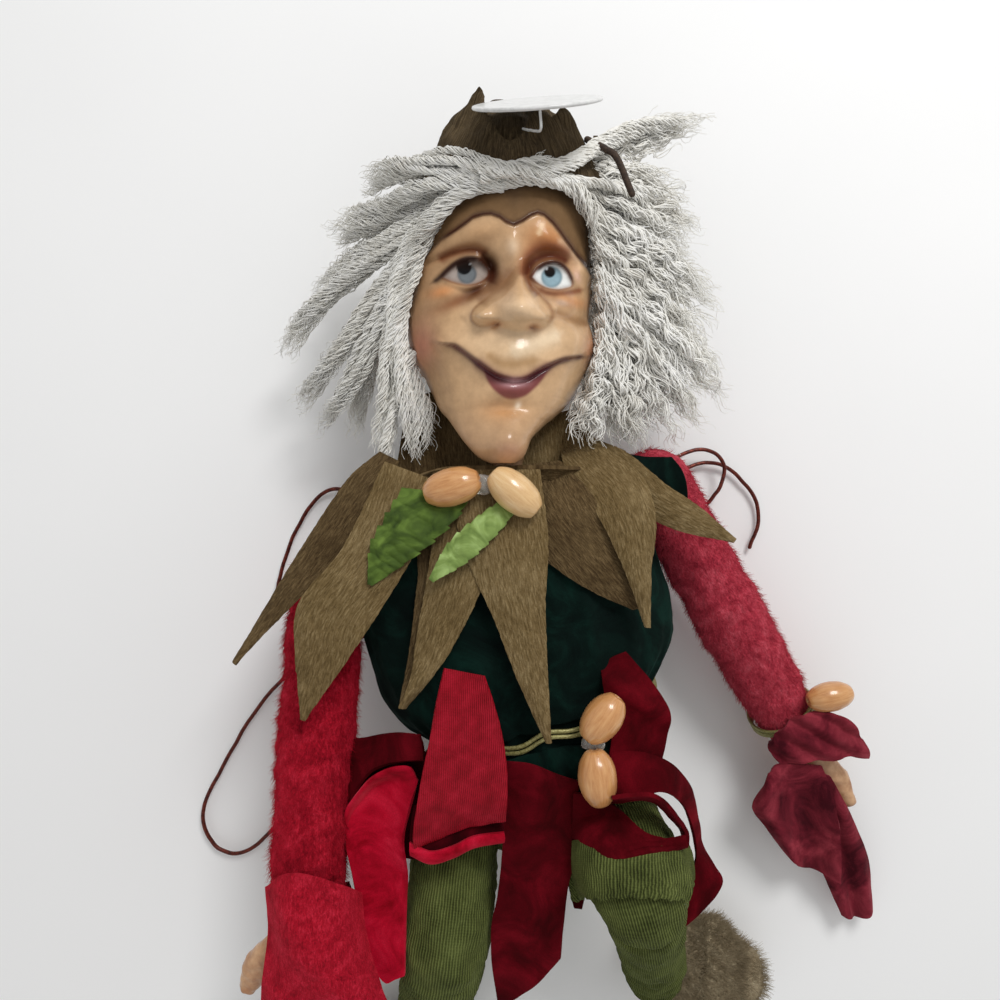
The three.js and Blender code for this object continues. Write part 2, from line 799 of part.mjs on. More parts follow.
// Upright felt petals round the front of the hat: angle round it, height of the edge over the brim
const hatEdge = [
  [-95, 9], [-77, 13], [-62, 9], [-46, 16], [-32, 18], [-23.5, 22], [-19, 14.5], [-13, 12], [-4, 8], [4, 8],
  [13, 14.5], [22, 14], [31, 17.5], [40, 14], [50, 8], [62, 13], [74, 18], [84, 12], [95, 8],
];
const hatStations = hatEdge.map(([degrees, high]) => {
  const turn = radians(degrees);
  const normal = vec(Math.sin(turn), 0, Math.cos(turn));
  const lean = hatLean + gap + feltThick / 2 - (petalInward * high) / 2;
  const centre = vec(hatMiddle.x, hatMiddle.y + high / 2 + gap, hatMiddle.z);
  centre.x += normal.x * (hatHalfWidth + lean);
  centre.z += normal.z * (hatHalfDepth + lean);
  const across = vec(normal.x * petalInward, -1, normal.z * petalInward).normalize();
  return { centre, across, normal, width: high };
});
const hatPetals = clothFromStations(hatStations, feltThick, 0, 2);
add('hat_petals', hatPetals, colours.hatFelt);

// The tag leans on the dome and the petals, and swings up on a filament near its rim
const tagNormal = vec(-0.07, 0.85, 0.52).normalize();
const tagDown = vec(0, 0.52, -0.85).normalize();
const tagMiddle = hatMiddle.clone().add(vec(tagAside, tagRise, hatHalfDepth + tagForward));
const tagPivot = tagMiddle.clone().addScaledVector(tagDown, tagPinInset - tagRadius);
const tag = new THREE.CylinderGeometry(tagRadius, tagRadius, tagThick, 24);
tag.applyQuaternion(new THREE.Quaternion().setFromUnitVectors(vec(0, 1, 0), tagNormal));
tag.translate(tagMiddle.x, tagMiddle.y, tagMiddle.z);
add('tag_disc', tag, colours.tag, 0.4);

const hatTool = egg(hatMiddle, hatHalf.clone().addScalar(gap), 16);
const pinEnd = tagPivot.clone().addScaledVector(tagNormal, -tagThick / 2 - gap - tagPinRadius);
const pinRoot = hatMiddle.clone().add(vec(2, 9.8, hatHalfDepth + hatLean - gap));
const pin = limb({
  path: [pinEnd, pinEnd.clone().addScaledVector(tagNormal, -tagPinReach), pinRoot],
  wide: [tagPinRadius, tagPinRadius, tagPinRadius],
  sides: 6,
  steps: 4,
});
add('tag_pin', cut(pin, hatTool), colours.glue, 0.3);

const twigPath = [[19.3, 10.6, 20.9], [27, 4, 24], [31, -5, 23]];
const twig = limb({
  path: twigPath.map(([x, y, z]) => hatMiddle.clone().add(vec(x, y, z))),
  wide: [twigRadius, twigRadius, twigRadius * 0.6],
  sides: 6,
  steps: 4,
});
add('hat_twig', cut(twig, hatTool), colours.wire);

// Hair

function hairCapForm(grow = 0) {
  const half = vec(hairHalfWidth, hairHalfLength, hairHalfDepth).addScalar(grow);
  return egg(vec(neckX, hairMiddleY, hairMiddleZ), half, 16);
}

const aboveCap = halfSpace(vec(0, 0, hairCapTopZ), zAxis, 120);
const hairCap = cut(hairCapForm(), headRoom, neckForm(gap), hatTool, aboveCap, belowFloor);
add('hair_cap', hairCap, colours.hair);
const hatRoom = new THREE.CylinderGeometry(1, 1, hatRise, 20);
const petalRoom = hatLean + feltThick + gap * 2;
hatRoom.scale(hatHalfWidth + petalRoom, 1, hatHalfDepth + petalRoom);
hatRoom.translate(hatMiddle.x, hatMiddle.y + hatRise / 2, hatMiddle.z);
const hairRoom = [headForm(gap + 0.3), hairCapForm(gap), hatRoom];

// Each lock follows a path of [x, y, z] from the hairline, with its half widths and half depths along it
const leftLocks = [
  {
    path: [[-12, 130, 42], [-24, 120, 44], [-29, 104, 43], [-31, 88, 41], [-31, 72, 40]],
    wide: [6, 6, 6, 6, 5],
  },
  { path: [[-27, 116, 42], [-33, 127, 37], [-40, 133, 32], [-48, 133, 27]], wide: [6, 6, 4.5, 3] },
  { path: [[-25, 117, 43], [-43, 119.5, 36], [-57, 118.5, 28]], wide: [6, 6, 3] },
  { path: [[-25, 114, 43], [-42, 110, 40], [-60, 100, 31], [-71, 90, 23]], wide: [6, 6.5, 6, 3.5] },
  {
    path: [[-27, 106, 43], [-39, 100, 41], [-51, 85, 34], [-62, 73, 25], [-68, 68, 20]],
    wide: [6, 6.5, 6, 5, 3],
  },
  { path: [[-29, 98, 43], [-35, 93, 42], [-46, 77, 36], [-57, 64, 27]], wide: [6, 6, 6, 4] },
  { path: [[-31, 90, 42], [-35, 84, 41], [-39, 71, 40], [-41, 58, 39]], wide: [6, 6, 5.5, 3.5] },
  { path: [[-31, 78, 41], [-30, 66, 41], [-29.5, 57, 41]], wide: [5, 4.5, 3] },
];
const rightLocks = [
  {
    path: [[10, 132, 42], [19, 122, 44], [23, 106, 44], [24, 88, 42], [24, 72, 40], [21, 60, 40]],
    wide: [6, 8, 8, 8, 7, 4],
  },
  {
    path: [[24, 116, 42], [30, 128, 37], [36, 142, 31], [44, 149.5, 28], [50, 153, 25]],
    wide: [7, 7, 5, 4, 2.5],
  },
  { path: [[17, 126, 42], [34, 126, 37], [50, 124, 28]], wide: [9, 11, 6], deep: [7, 9, 6] },
  { path: [[20, 116, 42], [36, 108, 36], [55, 101, 27]], wide: [11, 14, 9], deep: [8, 12, 9] },
  { path: [[22, 102, 42], [37, 88, 35], [54, 79, 27]], wide: [11, 14, 9], deep: [8, 12, 9] },
  { path: [[23, 90, 41], [35, 74, 34], [47, 66, 28]], wide: [10, 12, 8], deep: [8, 11, 8] },
  { path: [[24, 76, 40], [28, 66, 36], [31, 61, 33]], wide: [8, 8, 4] },
];
for (const [name, hairLocks] of [['hair_left', leftLocks], ['hair_right', rightLocks]]) {
  const limbs = hairLocks.map(({ path, wide, deep = wide }) => limb({
    path: path.map(([x, y, z]) => vec(x, y, z)),
    wide,
    deep,
    sides: 10,
    steps: 5,
  }));
  add(name, mainBody(cut(join(...limbs), ...hairRoom)), colours.hair);
}

// Collar: a gathered felt band under the chin, and pointed petals that lie over the chest

function collarBandForm(grow = 0) {
  return limb({
    path: [vec(-32, 40, 41), vec(-19, 42, 48), vec(-4, 42.5, 50.5), vec(11, 43, 49), vec(24, 42.5, 43)],
    wide: [2.4, 2.8, 2.8, 2.8, 2.4],
    sides: 8,
    steps: 8,
    grow,
  });
}

const tunicRoom = tunicForm(gap + 0.1);
const armRoom = [
  upperArm(rightShoulder, rightElbow, gap),
  upperArm(leftShoulder, leftElbow, gap),
];
add('collar_band', cut(collarBandForm(), tunicRoom, ...armRoom), colours.felt);
const bandRoom = collarBandForm(gap);

// Each petal's middle line: x, y, and height over the front of the tunic
const petals = [
  {
    name: 'collar_petal_1',
    path: [[-34, 39, -10.5], [-46, 33, -6.5], [-60, 19, -4.5], [-77, -5, -2]],
    widths: [10, 24, 25, 1.5],
  },
  {
    name: 'collar_petal_2',
    path: [[-27.5, 37, -3.4], [-37, 27, 2.2], [-47, 12, 4.1], [-58, -20, 3.8]],
    widths: [9, 24, 24, 1.5],
  },
  {
    name: 'collar_petal_3',
    path: [[-18, 36, -5.4], [-23.2, 26, -3.9], [-25.6, 6, -1.8], [-33, -17, -0.8]],
    widths: [9, 19, 18, 1.5],
  },
  {
    name: 'collar_petal_4',
    path: [[-4, 36.5, -1.5], [-4, 26, 1], [-2, 4, 3], [6.6, -26, 2.5]],
    widths: [10, 25, 24, 1.5],
  },
  {
    name: 'collar_petal_5',
    path: [[7, 37, -5.6], [11, 30, -3], [20, 20, -1.2], [30.5, 8, -2.2]],
    widths: [9, 18, 16, 1.5],
  },
  {
    name: 'collar_petal_6',
    path: [[13, 38, -2.5], [18, 33, 0.8], [25, 20, 2.4], [34, 2, 1.8]],
    widths: [9, 20, 20, 1.5],
  },
  {
    name: 'collar_petal_7',
    path: [[22, 37.6, -8.5], [30, 37, -6], [42, 34.6, -5], [58.5, 26.5, -7.5]],
    widths: [9, 22, 20, 1.5],
  },
];
const onFront = ([x, y, z]) => vec(x, y, z + tunicFrontZ);
for (const { name, path, widths } of petals) {
  const sheet = cloth({
    path: path.map(onFront),
    widths,
    up: zAxis,
    thick: feltThick,
    crown: 0.8,
    steps: 6,
    cells: 2,
  });
  add(name, cut(sheet, bandRoom, tunicRoom, ...armRoom), colours.felt);
}

const leaves = [
  {
    name: 'leaf_broad',
    path: [[-14, 34, 0.8], [-21, 29.5, 3.4], [-31, 22.5, 4.7], [-40.5, 15.5, 5.4]],
    widths: [4, 14, 13, 1.5],
  },
  {
    name: 'leaf_narrow',
    path: [[-3, 31, 2.2], [-9.5, 28, 4.2], [-17, 23.5, 5.4], [-25, 17.5, 5.8]],
    widths: [3, 8, 7.5, 1.5],
  },
];
for (const { name, path, widths } of leaves) {
  const sheet = cloth({
    path: path.map(onFront),
    widths,
    up: zAxis,
    thick: leafThick,
    crown: 0.5,
    steps: 5,
    cells: 2,
  });
  add(name, sheet, colours.leaf);
}

// Beads and the clear glue that holds them

function beadRoom(centre, axis, length, radius) {
  const geometry = egg(vec(0, 0, 0), vec(radius + gap, length / 2 + 1 + gap, radius + gap), 14);
  geometry.applyQuaternion(new THREE.Quaternion().setFromUnitVectors(vec(0, 1, 0), axis.clone().normalize()));
  geometry.translate(centre.x, centre.y, centre.z);
  return geometry;
}

const beadPairs = [
  {
    place: 'neck',
    beads: [
      ['neck_bead_left', onFront([-18.5, 40.6, 4.4]), vec(-0.92, -0.25, -0.15), beadLength * 0.94],
      ['neck_bead_right', onFront([-2.4, 39.4, 4.6]), vec(0.82, -0.57, 0), beadLength],
    ],
    glue: onFront([-10.6, 42, 2.6]),
  },
  {
    place: 'waist',
    beads: [
      ['waist_bead_upper', onFront([20.6, -17.9, 4.6]), vec(0.88, 0.4, 0), beadLength * 0.94],
      ['waist_bead_lower', onFront([18.9, -34.6, 6]), vec(0.05, -1, 0.05), beadLength * 0.94],
    ],
    glue: onFront([18.8, -24.6, 2.6]),
  },
];
for (const { place, beads, glue } of beadPairs) {
  for (const [name, centre, axis, length] of beads) {
    add(name, bead(centre, axis, length, beadRadius), colours.wood, 0.2);
  }
  const rooms = beads.map(([, centre, axis, length]) => beadRoom(centre, axis, length, beadRadius));
  const drop = egg(glue, vec(glueRadius * 1.6, glueRadius * 1.3, glueRadius), 10);
  add(`${place}_glue`, cut(drop, ...rooms), colours.glue, 0.15);
}

// Skirt: cut lengths of ribbon and loops, caught under the belt

// A ribbon bent back on itself keeps its width across the page
function loopRibbon(path, width, steps) {
  const curve = new THREE.CatmullRomCurve3(path);
  const stations = [];
  for (let i = 0; i <= steps; i += 1) {
    const share = i / steps;
    const forward = curve.getTangentAt(share);
    const across = vec(1, 0, 0);
    across.addScaledVector(forward, -across.dot(forward)).normalize();
    const normal = across.clone().cross(forward).normalize();
    stations.push({ centre: curve.getPointAt(share), across, normal, width });
  }
  return clothFromStations(stations, ribbonThick, 0, 2);
}

// Each ribbon's middle line: x, y, and height over the front of the tunic
const ribbons = [
  {
    name: 'ribbon_loop_left',
    path: [[-15, -9, 5.4], [-15.2, -20, 5.4], [-15, -34, 6.4], [-13.6, -47, 7.5], [-12.6, -53, 4.9],
      [-12.4, -49, 0.9], [-12.2, -40, -1.1], [-12, -34, -1.6]],
    width: ribbonWidth * 0.92,
    steps: 16,
  },
  {
    name: 'ribbon_tail_left',
    path: [[-35, -35, -8], [-39, -47, -5.5], [-41.6, -62, -5], [-41.8, -78, -5], [-41.5, -94, -5.5]],
    width: ribbonWidth * 0.9,
    tilt: [0.667, 0, 0.744],
    skew: 0.5,
  },
  {
    name: 'ribbon_tail_centre',
    path: [[6, -31.6, -1.6], [3.5, -42, -4], [2.3, -60, -5], [2.6, -80, -7], [3, -100, -8.5]],
    width: ribbonWidth * 0.93,
    skew: -0.5,
  },
  {
    name: 'ribbon_loop_right',
    path: [[27, -6, -1.5], [34, -14, -2.5], [39, -26, -3.5], [38, -37, 0.5]],
  },
  {
    name: 'ribbon_loop_inner',
    path: [[34, -27, -1.9], [33.5, -34, 4], [34, -40, 10.5], [36, -42, 15], [37, -38, 17.5],
      [37.5, -31, 15.5]],
    width: ribbonWidth * 0.8,
    steps: 12,
  },
  {
    name: 'ribbon_strip_right',
    path: [[40.5, -20.5, -17.5], [47, -27, -13], [51, -38, -9.5], [54, -52, -6.5], [55, -65, -3.5],
      [48, -80, -1.5]],
    tilt: [0.8, 0, 0.6],
    width: ribbonWidth * 0.8,
  },
];
for (const { name, path, width = ribbonWidth, skew = 0, steps = 7, tilt = [0, 0, 1] } of ribbons) {
  const points = path.map(onFront);
  const sheet = steps > 10 ? loopRibbon(points, width, steps) : cloth({
    path: points,
    widths: [width * 0.6, width, width, width],
    up: vec(...tilt),
    thick: ribbonThick,
    crown: 0.6,
    steps,
    skew,
    cells: 2,
  });
  add(name, mainBody(cut(sheet, tunicForm(gap), beltForm(gap))), colours.velvet, 0.8);
}

// Bare copper wire loops behind the shoulders

const wings = [
  {
    name: 'wing_left_upper',
    path: [[-20, 16, 13], [-30, 24, 8], [-44, 34, 5], [-56, 41, 3.4], [-66, 40, 2.6], [-75, 27, 2.2],
      [-80, 12, 2.2], [-81, 4, 2.4]],
  },
  {
    name: 'wing_left_lower',
    path: [[-22, 2, 13], [-34, -2, 8], [-50, -7, 5], [-68, -13, 3.4], [-86, -30, 2.4],
      [-100, -53, 2.2], [-106, -67, 2.2], [-103, -77, 2.2], [-96, -81, 2.2], [-88, -78, 2.4],
      [-80, -70, 2.4]],
  },
  {
    name: 'wing_right_outer',
    path: [[16, 20, 13], [25, 29, 9.5], [45, 42, 5], [60, 50, 3], [70, 49, 2.4], [79, 40, 2.2], [81, 31, 2.2],
      [78, 22, 2.2]],
  },
  {
    name: 'wing_right_inner',
    path: [[20, 25, 15], [30, 36, 13], [42, 45, 9], [54, 53, 6.8], [63, 54.5, 6], [68, 50, 6.2],
      [67, 43, 6.4], [63, 37, 6]],
  },
];
for (const { name, path } of wings) {
  const wire = limb({
    path: path.map(([x, y, z]) => vec(x, y, z)),
    wide: [wingWireRadius, wingWireRadius],
    sides: 5,
    steps: 14,
  });
  add(name, mainBody(cut(wire, tunicRoom)), colours.wire, 0.4, 0.6);
}

// Arms

function armParts(side, shoulder, elbow, wrist, axis, bend) {
  const upperWay = elbow.clone().sub(shoulder).normalize();
  const foreWay = wrist.clone().sub(elbow).normalize();
  const sleeve = openEnd(upperArm(shoulder, elbow), {
    centre: elbow,
    near: upperWay.clone().negate(),
    far: foreWay,
    axis,
    least: 0,
    most: bend,
    radius: sleeveRadius + 0.7,
    ballRadius: elbowBall,
  });
  add(`sleeve_upper_${side}`, sleeve, colours.redFelt);
  add(`sleeve_fore_${side}`, forearm(elbow, wrist), colours.redFelt);
  const over = zAxis.clone().addScaledVector(foreWay, -foreWay.z).normalize();
  const elastic = band({
    centre: wrist.clone().addScaledVector(foreWay, -cuffSetBack),
    through: foreWay,
    over,
    halfWide: cuffRadius,
    halfDeep: cuffRadius,
    width: bandWide,
    thick: bandThick,
    sides: 16,
  });
  const sleeveRoom = forearm(elbow, wrist, boreGap);
  add(`wrist_band_${side}`, cut(elastic, sleeveRoom), colours.gold, 0.5, 0.3);
}

armParts('right', rightShoulder, rightElbow, rightWrist, rightElbowAxis, elbowBendRight);
armParts('left', leftShoulder, leftElbow, leftWrist, leftElbowAxis, elbowBendLeft);

// What a cuff ribbon keeps clear of: the sleeve and the elastic round its end
function cuffRoom(elbow, wrist) {
  const foreWay = wrist.clone().sub(elbow).normalize();
  const radius = cuffRadius + bandThick + gap;
  const elastic = new THREE.CylinderGeometry(radius, radius, bandWide + gap * 2, 16);
  elastic.applyQuaternion(new THREE.Quaternion().setFromUnitVectors(vec(0, 1, 0), foreWay));
  const middle = wrist.clone().addScaledVector(foreWay, -cuffSetBack);
  elastic.translate(middle.x, middle.y, middle.z);
  return [forearm(elbow, wrist, gap), elastic];
}

const rightCuffRoom = cuffRoom(rightElbow, rightWrist);
const leftCuffRoom = cuffRoom(leftElbow, leftWrist);
const fromWrist = (wrist, list) => list.map(([x, y, z]) => wrist.clone().add(vec(x, y, z)));

const hands = [
  {
    name: 'hand_right',
    wrist: rightWrist,
    path: [[2, -3.5, 0], [8, -11, -0.6], [15, -18, -1], [20, -25, -1.4]],
    sleeve: forearm(rightElbow, rightWrist, gap),
  },
  {
    name: 'hand_left',
    wrist: leftWrist,
    path: [[-1, -4, 0], [-7, -10, -1], [-13, -15, -2], [-17, -22, -3]],
    sleeve: forearm(leftElbow, leftWrist, gap),
  },
];
for (const { name, wrist, path, sleeve } of hands) {
  const palm = limb({
    path: fromWrist(wrist, path),
    wide: [handRadius, handRadius * 1.2, handRadius * 0.9, handRadius * 0.45],
    deep: [handRadius, handRadius * 0.8, handRadius * 0.6, handRadius * 0.45],
    sides: 10,
    steps: 6,
  });
  add(name, cut(palm, sleeve), colours.resin, 0.3);
}

const wristBeadMiddle = rightWrist.clone().add(vec(7.5, 12.3, 13));
const wristBead = bead(wristBeadMiddle, vec(0.97, 0.22, 0), wristBeadLength, wristBeadRadius);
add('wrist_bead_right', wristBead, colours.wood, 0.2);

// Each cuff ribbon's middle line, measured from the wrist
const cuffs = [
  {
    name: 'cuff_flap_right',
    wrist: rightWrist,
    path: [[1, 0.2, 10.8], [9, -4, 12], [16, -7, 10.5], [23, -9, 7]],
    width: ribbonWidth * 0.78,
    room: rightCuffRoom,
  },
  {
    name: 'cuff_tail_right',
    wrist: rightWrist,
    path: [[-6, -3, 8.6], [-5, -16, 8], [1, -38, 2], [10, -60, -3]],
    width: ribbonWidth,
    room: rightCuffRoom,
  },
  {
    name: 'cuff_flap_left',
    wrist: leftWrist,
    path: [[-2, 2.8, 9], [-3, -6, 12], [-5, -16, 11.5], [-6, -26, 8.5]],
    width: ribbonWidth * 0.87,
    room: leftCuffRoom,
  },
  {
    name: 'cuff_tail_left',
    wrist: leftWrist,
    path: [[4, 2.8, -9.4], [5.5, -6, -11], [6.5, -18, -13], [7, -33, -15.5]],
    width: ribbonWidth * 0.73,
    room: leftCuffRoom,
  },
];
for (const { name, wrist, path, width, room } of cuffs) {
  const sheet = cloth({
    path: fromWrist(wrist, path),
    widths: [width * 0.7, width, width, width],
    up: zAxis,
    thick: ribbonThick,
    crown: 0.8,
    steps: 5,
    cells: 2,
  });
  add(name, mainBody(cut(sheet, ...room)), colours.velvet, 0.8);
}

// Legs

function shoeForm(ankle, toeHeading) {
  const toe = way(toeHeading, 0);
  const middle = ankle.clone().addScaledVector(toe, shoeLength * 0.24);
  const half = shoeLength / 2;
  const low = shoeWidth / 2;
  const tall = shoeHeight / 2;
  const back = middle.clone().addScaledVector(toe, -(half - low * 0.8));
  const front = middle.clone().addScaledVector(toe, half - low * 0.62);
  for (const point of [back, front]) {
    point.z = tall - restCut;
  }
  return limb({
    path: [back, front],
    wide: [low * 0.8, low * 0.97, low, low * 0.62],
    deep: [tall, tall, tall * 0.96, tall * 0.62],
    sides: 14,
    steps: 5,
  });
}

function legParts(side, { hip, knee, ankle, axis, open, bend, toe }) {
  const thighWay = knee.clone().sub(hip).normalize();
  const shinWay = ankle.clone().sub(knee).normalize();
  const upper = openEnd(thigh(hip, knee), {
    centre: knee,
    near: thighWay.clone().negate(),
    far: shinWay,
    axis: axis.clone().negate(),
    least: -open,
    most: bend,
    radius: shinRadius + 1.2,
    ballRadius: kneeBall,
  });
  add(`leg_thigh_${side}`, upper, colours.knit);
  add(`leg_shin_${side}`, cut(shin(knee, ankle), belowFloor), colours.knit);
  const toeWay = way(toe, 0);
  const ankleAxis = shinWay.clone().negate().cross(toeWay).normalize();
  const ankleRoom = swingRoom({
    centre: ankle,
    axis: ankleAxis,
    forward: shinWay.clone().negate(),
    least: -ankleSwing,
    most: ankleSwing,
    radius: ankleBall + socketGap,
    reach: shoeHeight * 1.4,
  });
  add(`shoe_${side}`, cut(shoeForm(ankle, toe), belowFloor, ankleRoom), colours.shoe);
  return ankleAxis;
}

const leftToe = -158;
const rightToe = -12;
const leftAnkleAxis = legParts('left', {
  hip: leftHip,
  knee: leftKnee,
  ankle: leftAnkle,
  axis: leftHipAxis,
  open: leftKneeOpen,
  bend: leftKneeBend,
  toe: leftToe,
});
const rightAnkleAxis = legParts('right', {
  hip: rightHip,
  knee: rightKnee,
  ankle: rightAnkle,
  axis: rightHipAxis,
  open: rightKneeOpen,
  bend: rightKneeBend,
  toe: rightToe,
});

// The joint centres and axes, for whoever sets up the hinges
doll.userData.joints = {
  rightShoulder, leftShoulder, rightElbow, leftElbow, rightWrist, leftWrist, leftHip, rightHip,
  leftKnee, rightKnee, leftAnkle, rightAnkle, rightElbowAxis, leftElbowAxis, leftHipAxis, rightHipAxis,
  leftAnkleAxis, rightAnkleAxis, tagPivot,
};

export default doll;
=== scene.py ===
import json
import math
from functools import partial

import bpy
import numpy as np
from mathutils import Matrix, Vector


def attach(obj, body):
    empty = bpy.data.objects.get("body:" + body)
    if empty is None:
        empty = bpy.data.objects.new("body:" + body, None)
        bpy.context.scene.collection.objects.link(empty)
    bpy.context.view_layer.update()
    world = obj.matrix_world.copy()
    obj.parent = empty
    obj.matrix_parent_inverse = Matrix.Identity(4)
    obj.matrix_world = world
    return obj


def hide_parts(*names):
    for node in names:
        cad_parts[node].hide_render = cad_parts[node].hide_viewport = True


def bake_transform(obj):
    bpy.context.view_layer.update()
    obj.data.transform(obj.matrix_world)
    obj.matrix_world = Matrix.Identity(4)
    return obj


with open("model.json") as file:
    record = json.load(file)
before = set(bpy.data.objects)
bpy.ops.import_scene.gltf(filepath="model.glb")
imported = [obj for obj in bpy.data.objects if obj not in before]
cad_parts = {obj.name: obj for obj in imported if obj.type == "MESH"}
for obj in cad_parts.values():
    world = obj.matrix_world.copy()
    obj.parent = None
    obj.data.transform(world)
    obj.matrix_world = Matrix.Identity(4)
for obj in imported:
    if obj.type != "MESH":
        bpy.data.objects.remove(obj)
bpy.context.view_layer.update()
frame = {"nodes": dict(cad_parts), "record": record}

# Camera: straight down on the doll, close, with a wide lens
CAMERA_X = -6.0
CAMERA_Y = 38.0
CAMERA_HEIGHT = 255.0
FOCAL_PIXELS = 751.0
IMAGE_SIZE = 1000
IMAGE_MIDDLE = IMAGE_SIZE / 2
SENSOR = 36

# One millimetre in metres, and the narrowest flat width counted for a sheet, in metres
MM = 0.001
NARROWEST_CUT = 0.0101

# Directions, and how finely curves and rounded ends are drawn
UP = np.array([0.0, 0.0, 1.0])
FIBRE_GUIDE = np.array([0.31, 0.17, 0.93])
CURVE_STEPS = 24
DOME_END = 0.12


def at(px, py, z):
    """The point in millimetres at height z that shows at this pixel of the picture."""
    scale = (CAMERA_HEIGHT - z) / FOCAL_PIXELS
    return np.array([(px - IMAGE_MIDDLE) * scale + CAMERA_X, (IMAGE_MIDDLE - py) * scale + CAMERA_Y, z])


def seen(points):
    """The pixels at which points show."""
    scale = (CAMERA_HEIGHT - points[..., 2]) / FOCAL_PIXELS
    px = (points[..., 0] - CAMERA_X) / scale + IMAGE_MIDDLE
    py = IMAGE_MIDDLE - (points[..., 1] - CAMERA_Y) / scale
    return px, py


def unit(vectors):
    length = np.linalg.norm(vectors, axis=-1, keepdims=True)
    return vectors / np.maximum(length, 1e-9)


def bell(value, width):
    """1 where the value is zero, falling off evenly on both sides."""
    return np.exp(-(value / width) ** 2)


def smoothstep(low, high, value):
    t = np.clip((value - low) / (high - low), 0, 1)
    return t * t * (3 - 2 * t)


def full_turn(count):
    """Angles spaced evenly round a circle."""
    return np.linspace(0, 2 * math.pi, count, endpoint=False)


def down_line(count, low=0, high=1):
    """Even steps from low to high down the rows of a grid."""
    return np.linspace(low, high, count)[:, None]


def side_line(count, low=0, high=1):
    """Even steps from low to high across the columns of a grid."""
    return np.linspace(low, high, count)[None]


def smooth_path(points, count):
    """A smooth curve through the points, at count places spaced evenly along it."""
    points = np.asarray(points, float)
    if len(points) == 2:
        share = down_line(count)
        return points[0] * (1 - share) + points[1] * share
    before = 2 * points[0] - points[1]
    after = 2 * points[-1] - points[-2]
    full = np.vstack([before, points, after])
    fine = []
    for i in range(len(points) - 1):
        a, b, c, d = full[i:i + 4]
        t = np.linspace(0, 1, CURVE_STEPS, endpoint=False)[:, None]
        fine.append(0.5 * (2 * b + (c - a) * t + (2 * a - 5 * b + 4 * c - d) * t ** 2
                           + (3 * b - a - 3 * c + d) * t ** 3))
    fine = np.vstack(fine + [points[-1:]])
    steps = np.linalg.norm(np.diff(fine, axis=0), axis=1)
    along = np.concatenate([[0], np.cumsum(steps)])
    places = np.linspace(0, along[-1], count)
    return np.stack([np.interp(places, along, fine[:, k]) for k in range(points.shape[1])], axis=1)


def values_at(values, count):
    """A short list of values spread smoothly over count places."""
    line = np.stack([np.linspace(0, 1, len(values)), values], axis=1)
    if len(values) < 3:
        return np.interp(np.linspace(0, 1, count), line[:, 0], line[:, 1])
    places = np.linspace(0, len(values) - 1, count)
    low = np.clip(places.astype(int), 0, len(values) - 2)
    t = places - low
    t = t * t * (3 - 2 * t) * 0.5 + t * 0.5
    values = np.asarray(values, float)
    return values[low] * (1 - t) + values[low + 1] * t


def ripple(points, size, seed, layers=3):
    """Smooth waves between about -1 and 1, size millimetres long."""
    chance = np.random.default_rng(seed)
    total = np.zeros(points.shape[:-1])
    weight = 1.0
    for layer in range(layers):
        reach = size / 1.8 ** layer
        for _ in range(3):
            first = unit(chance.normal(size=3))
            second = unit(chance.normal(size=3))
            shift = chance.uniform(0, 2 * math.pi, 2)
            bent = np.sin(points @ second * 4.1 / reach + shift[1])
            total += weight * np.sin(points @ first * 2 * math.pi / reach + shift[0] + bent) / 3
        weight *= 0.55
    return total


# Meshes

def make_mesh(name, points, faces, uv=None, paint=None, sharp=None):
    """A smooth mesh from points in millimetres and arrays of faces."""
    mesh = bpy.data.meshes.new(name)
    points = np.asarray(points, np.float32).reshape(-1, 3) * MM
    mesh.vertices.add(len(points))
    mesh.vertices.foreach_set("co", points.ravel())
    corners = np.concatenate([np.asarray(part, np.int32).ravel() for part in faces])
    sizes = np.concatenate([np.full(len(part), np.asarray(part).shape[1], np.int32) for part in faces])
    starts = np.concatenate([[0], np.cumsum(sizes)[:-1]]).astype(np.int32)
    mesh.loops.add(len(corners))
    mesh.loops.foreach_set("vertex_index", corners)
    mesh.polygons.add(len(sizes))
    mesh.polygons.foreach_set("loop_start", starts)
    mesh.polygons.foreach_set("use_smooth", np.ones(len(sizes), bool))
    if uv is not None:
        layer = mesh.uv_layers.new(name="UVMap")
        layer.data.foreach_set("uv", np.asarray(uv, np.float32).reshape(-1, 2)[corners].ravel())
    if paint is not None:
        layer = mesh.color_attributes.new("Paint", "FLOAT_COLOR", "POINT")
        colour = np.asarray(paint, np.float32).reshape(-1, 4)
        layer.data.foreach_set("color", colour.ravel())
    mesh.update(calc_edges=True)
    mesh.validate()
    if sharp is not None:
        mesh.set_sharp_from_angle(angle=math.radians(sharp))
    return mesh


def piece(name, mesh, material, body, replaces=()):
    """Place a mesh as one piece of a body; a piece given the facts from bend() is only left where it lies.
    """
    thing = bpy.data.objects.new(name, mesh)
    bpy.context.scene.collection.objects.link(thing)
    mesh.materials.append(material)
    if isinstance(body, str):
        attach(thing, body)
    else:
        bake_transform(thing)
    if replaces:
        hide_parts(*replaces)
    return thing


def grid_faces(rows, columns, wrap=False, start=0, flip=False):
    row = np.arange(rows - 1)[:, None]
    column = np.arange(columns if wrap else columns - 1)[None, :]
    following = (column + 1) % columns
    a = row * columns + column
    b = row * columns + following
    faces = np.stack([a, b, b + columns, a + columns], axis=-1).reshape(-1, 4) + start
    return faces[:, ::-1] if flip else faces


def grid_normals(grid, wrap=False):
    down = np.gradient(grid, axis=0)
    if wrap:
        side = np.roll(grid, -1, axis=1) - np.roll(grid, 1, axis=1)
    else:
        side = np.gradient(grid, axis=1)
    return unit(np.cross(side, down))


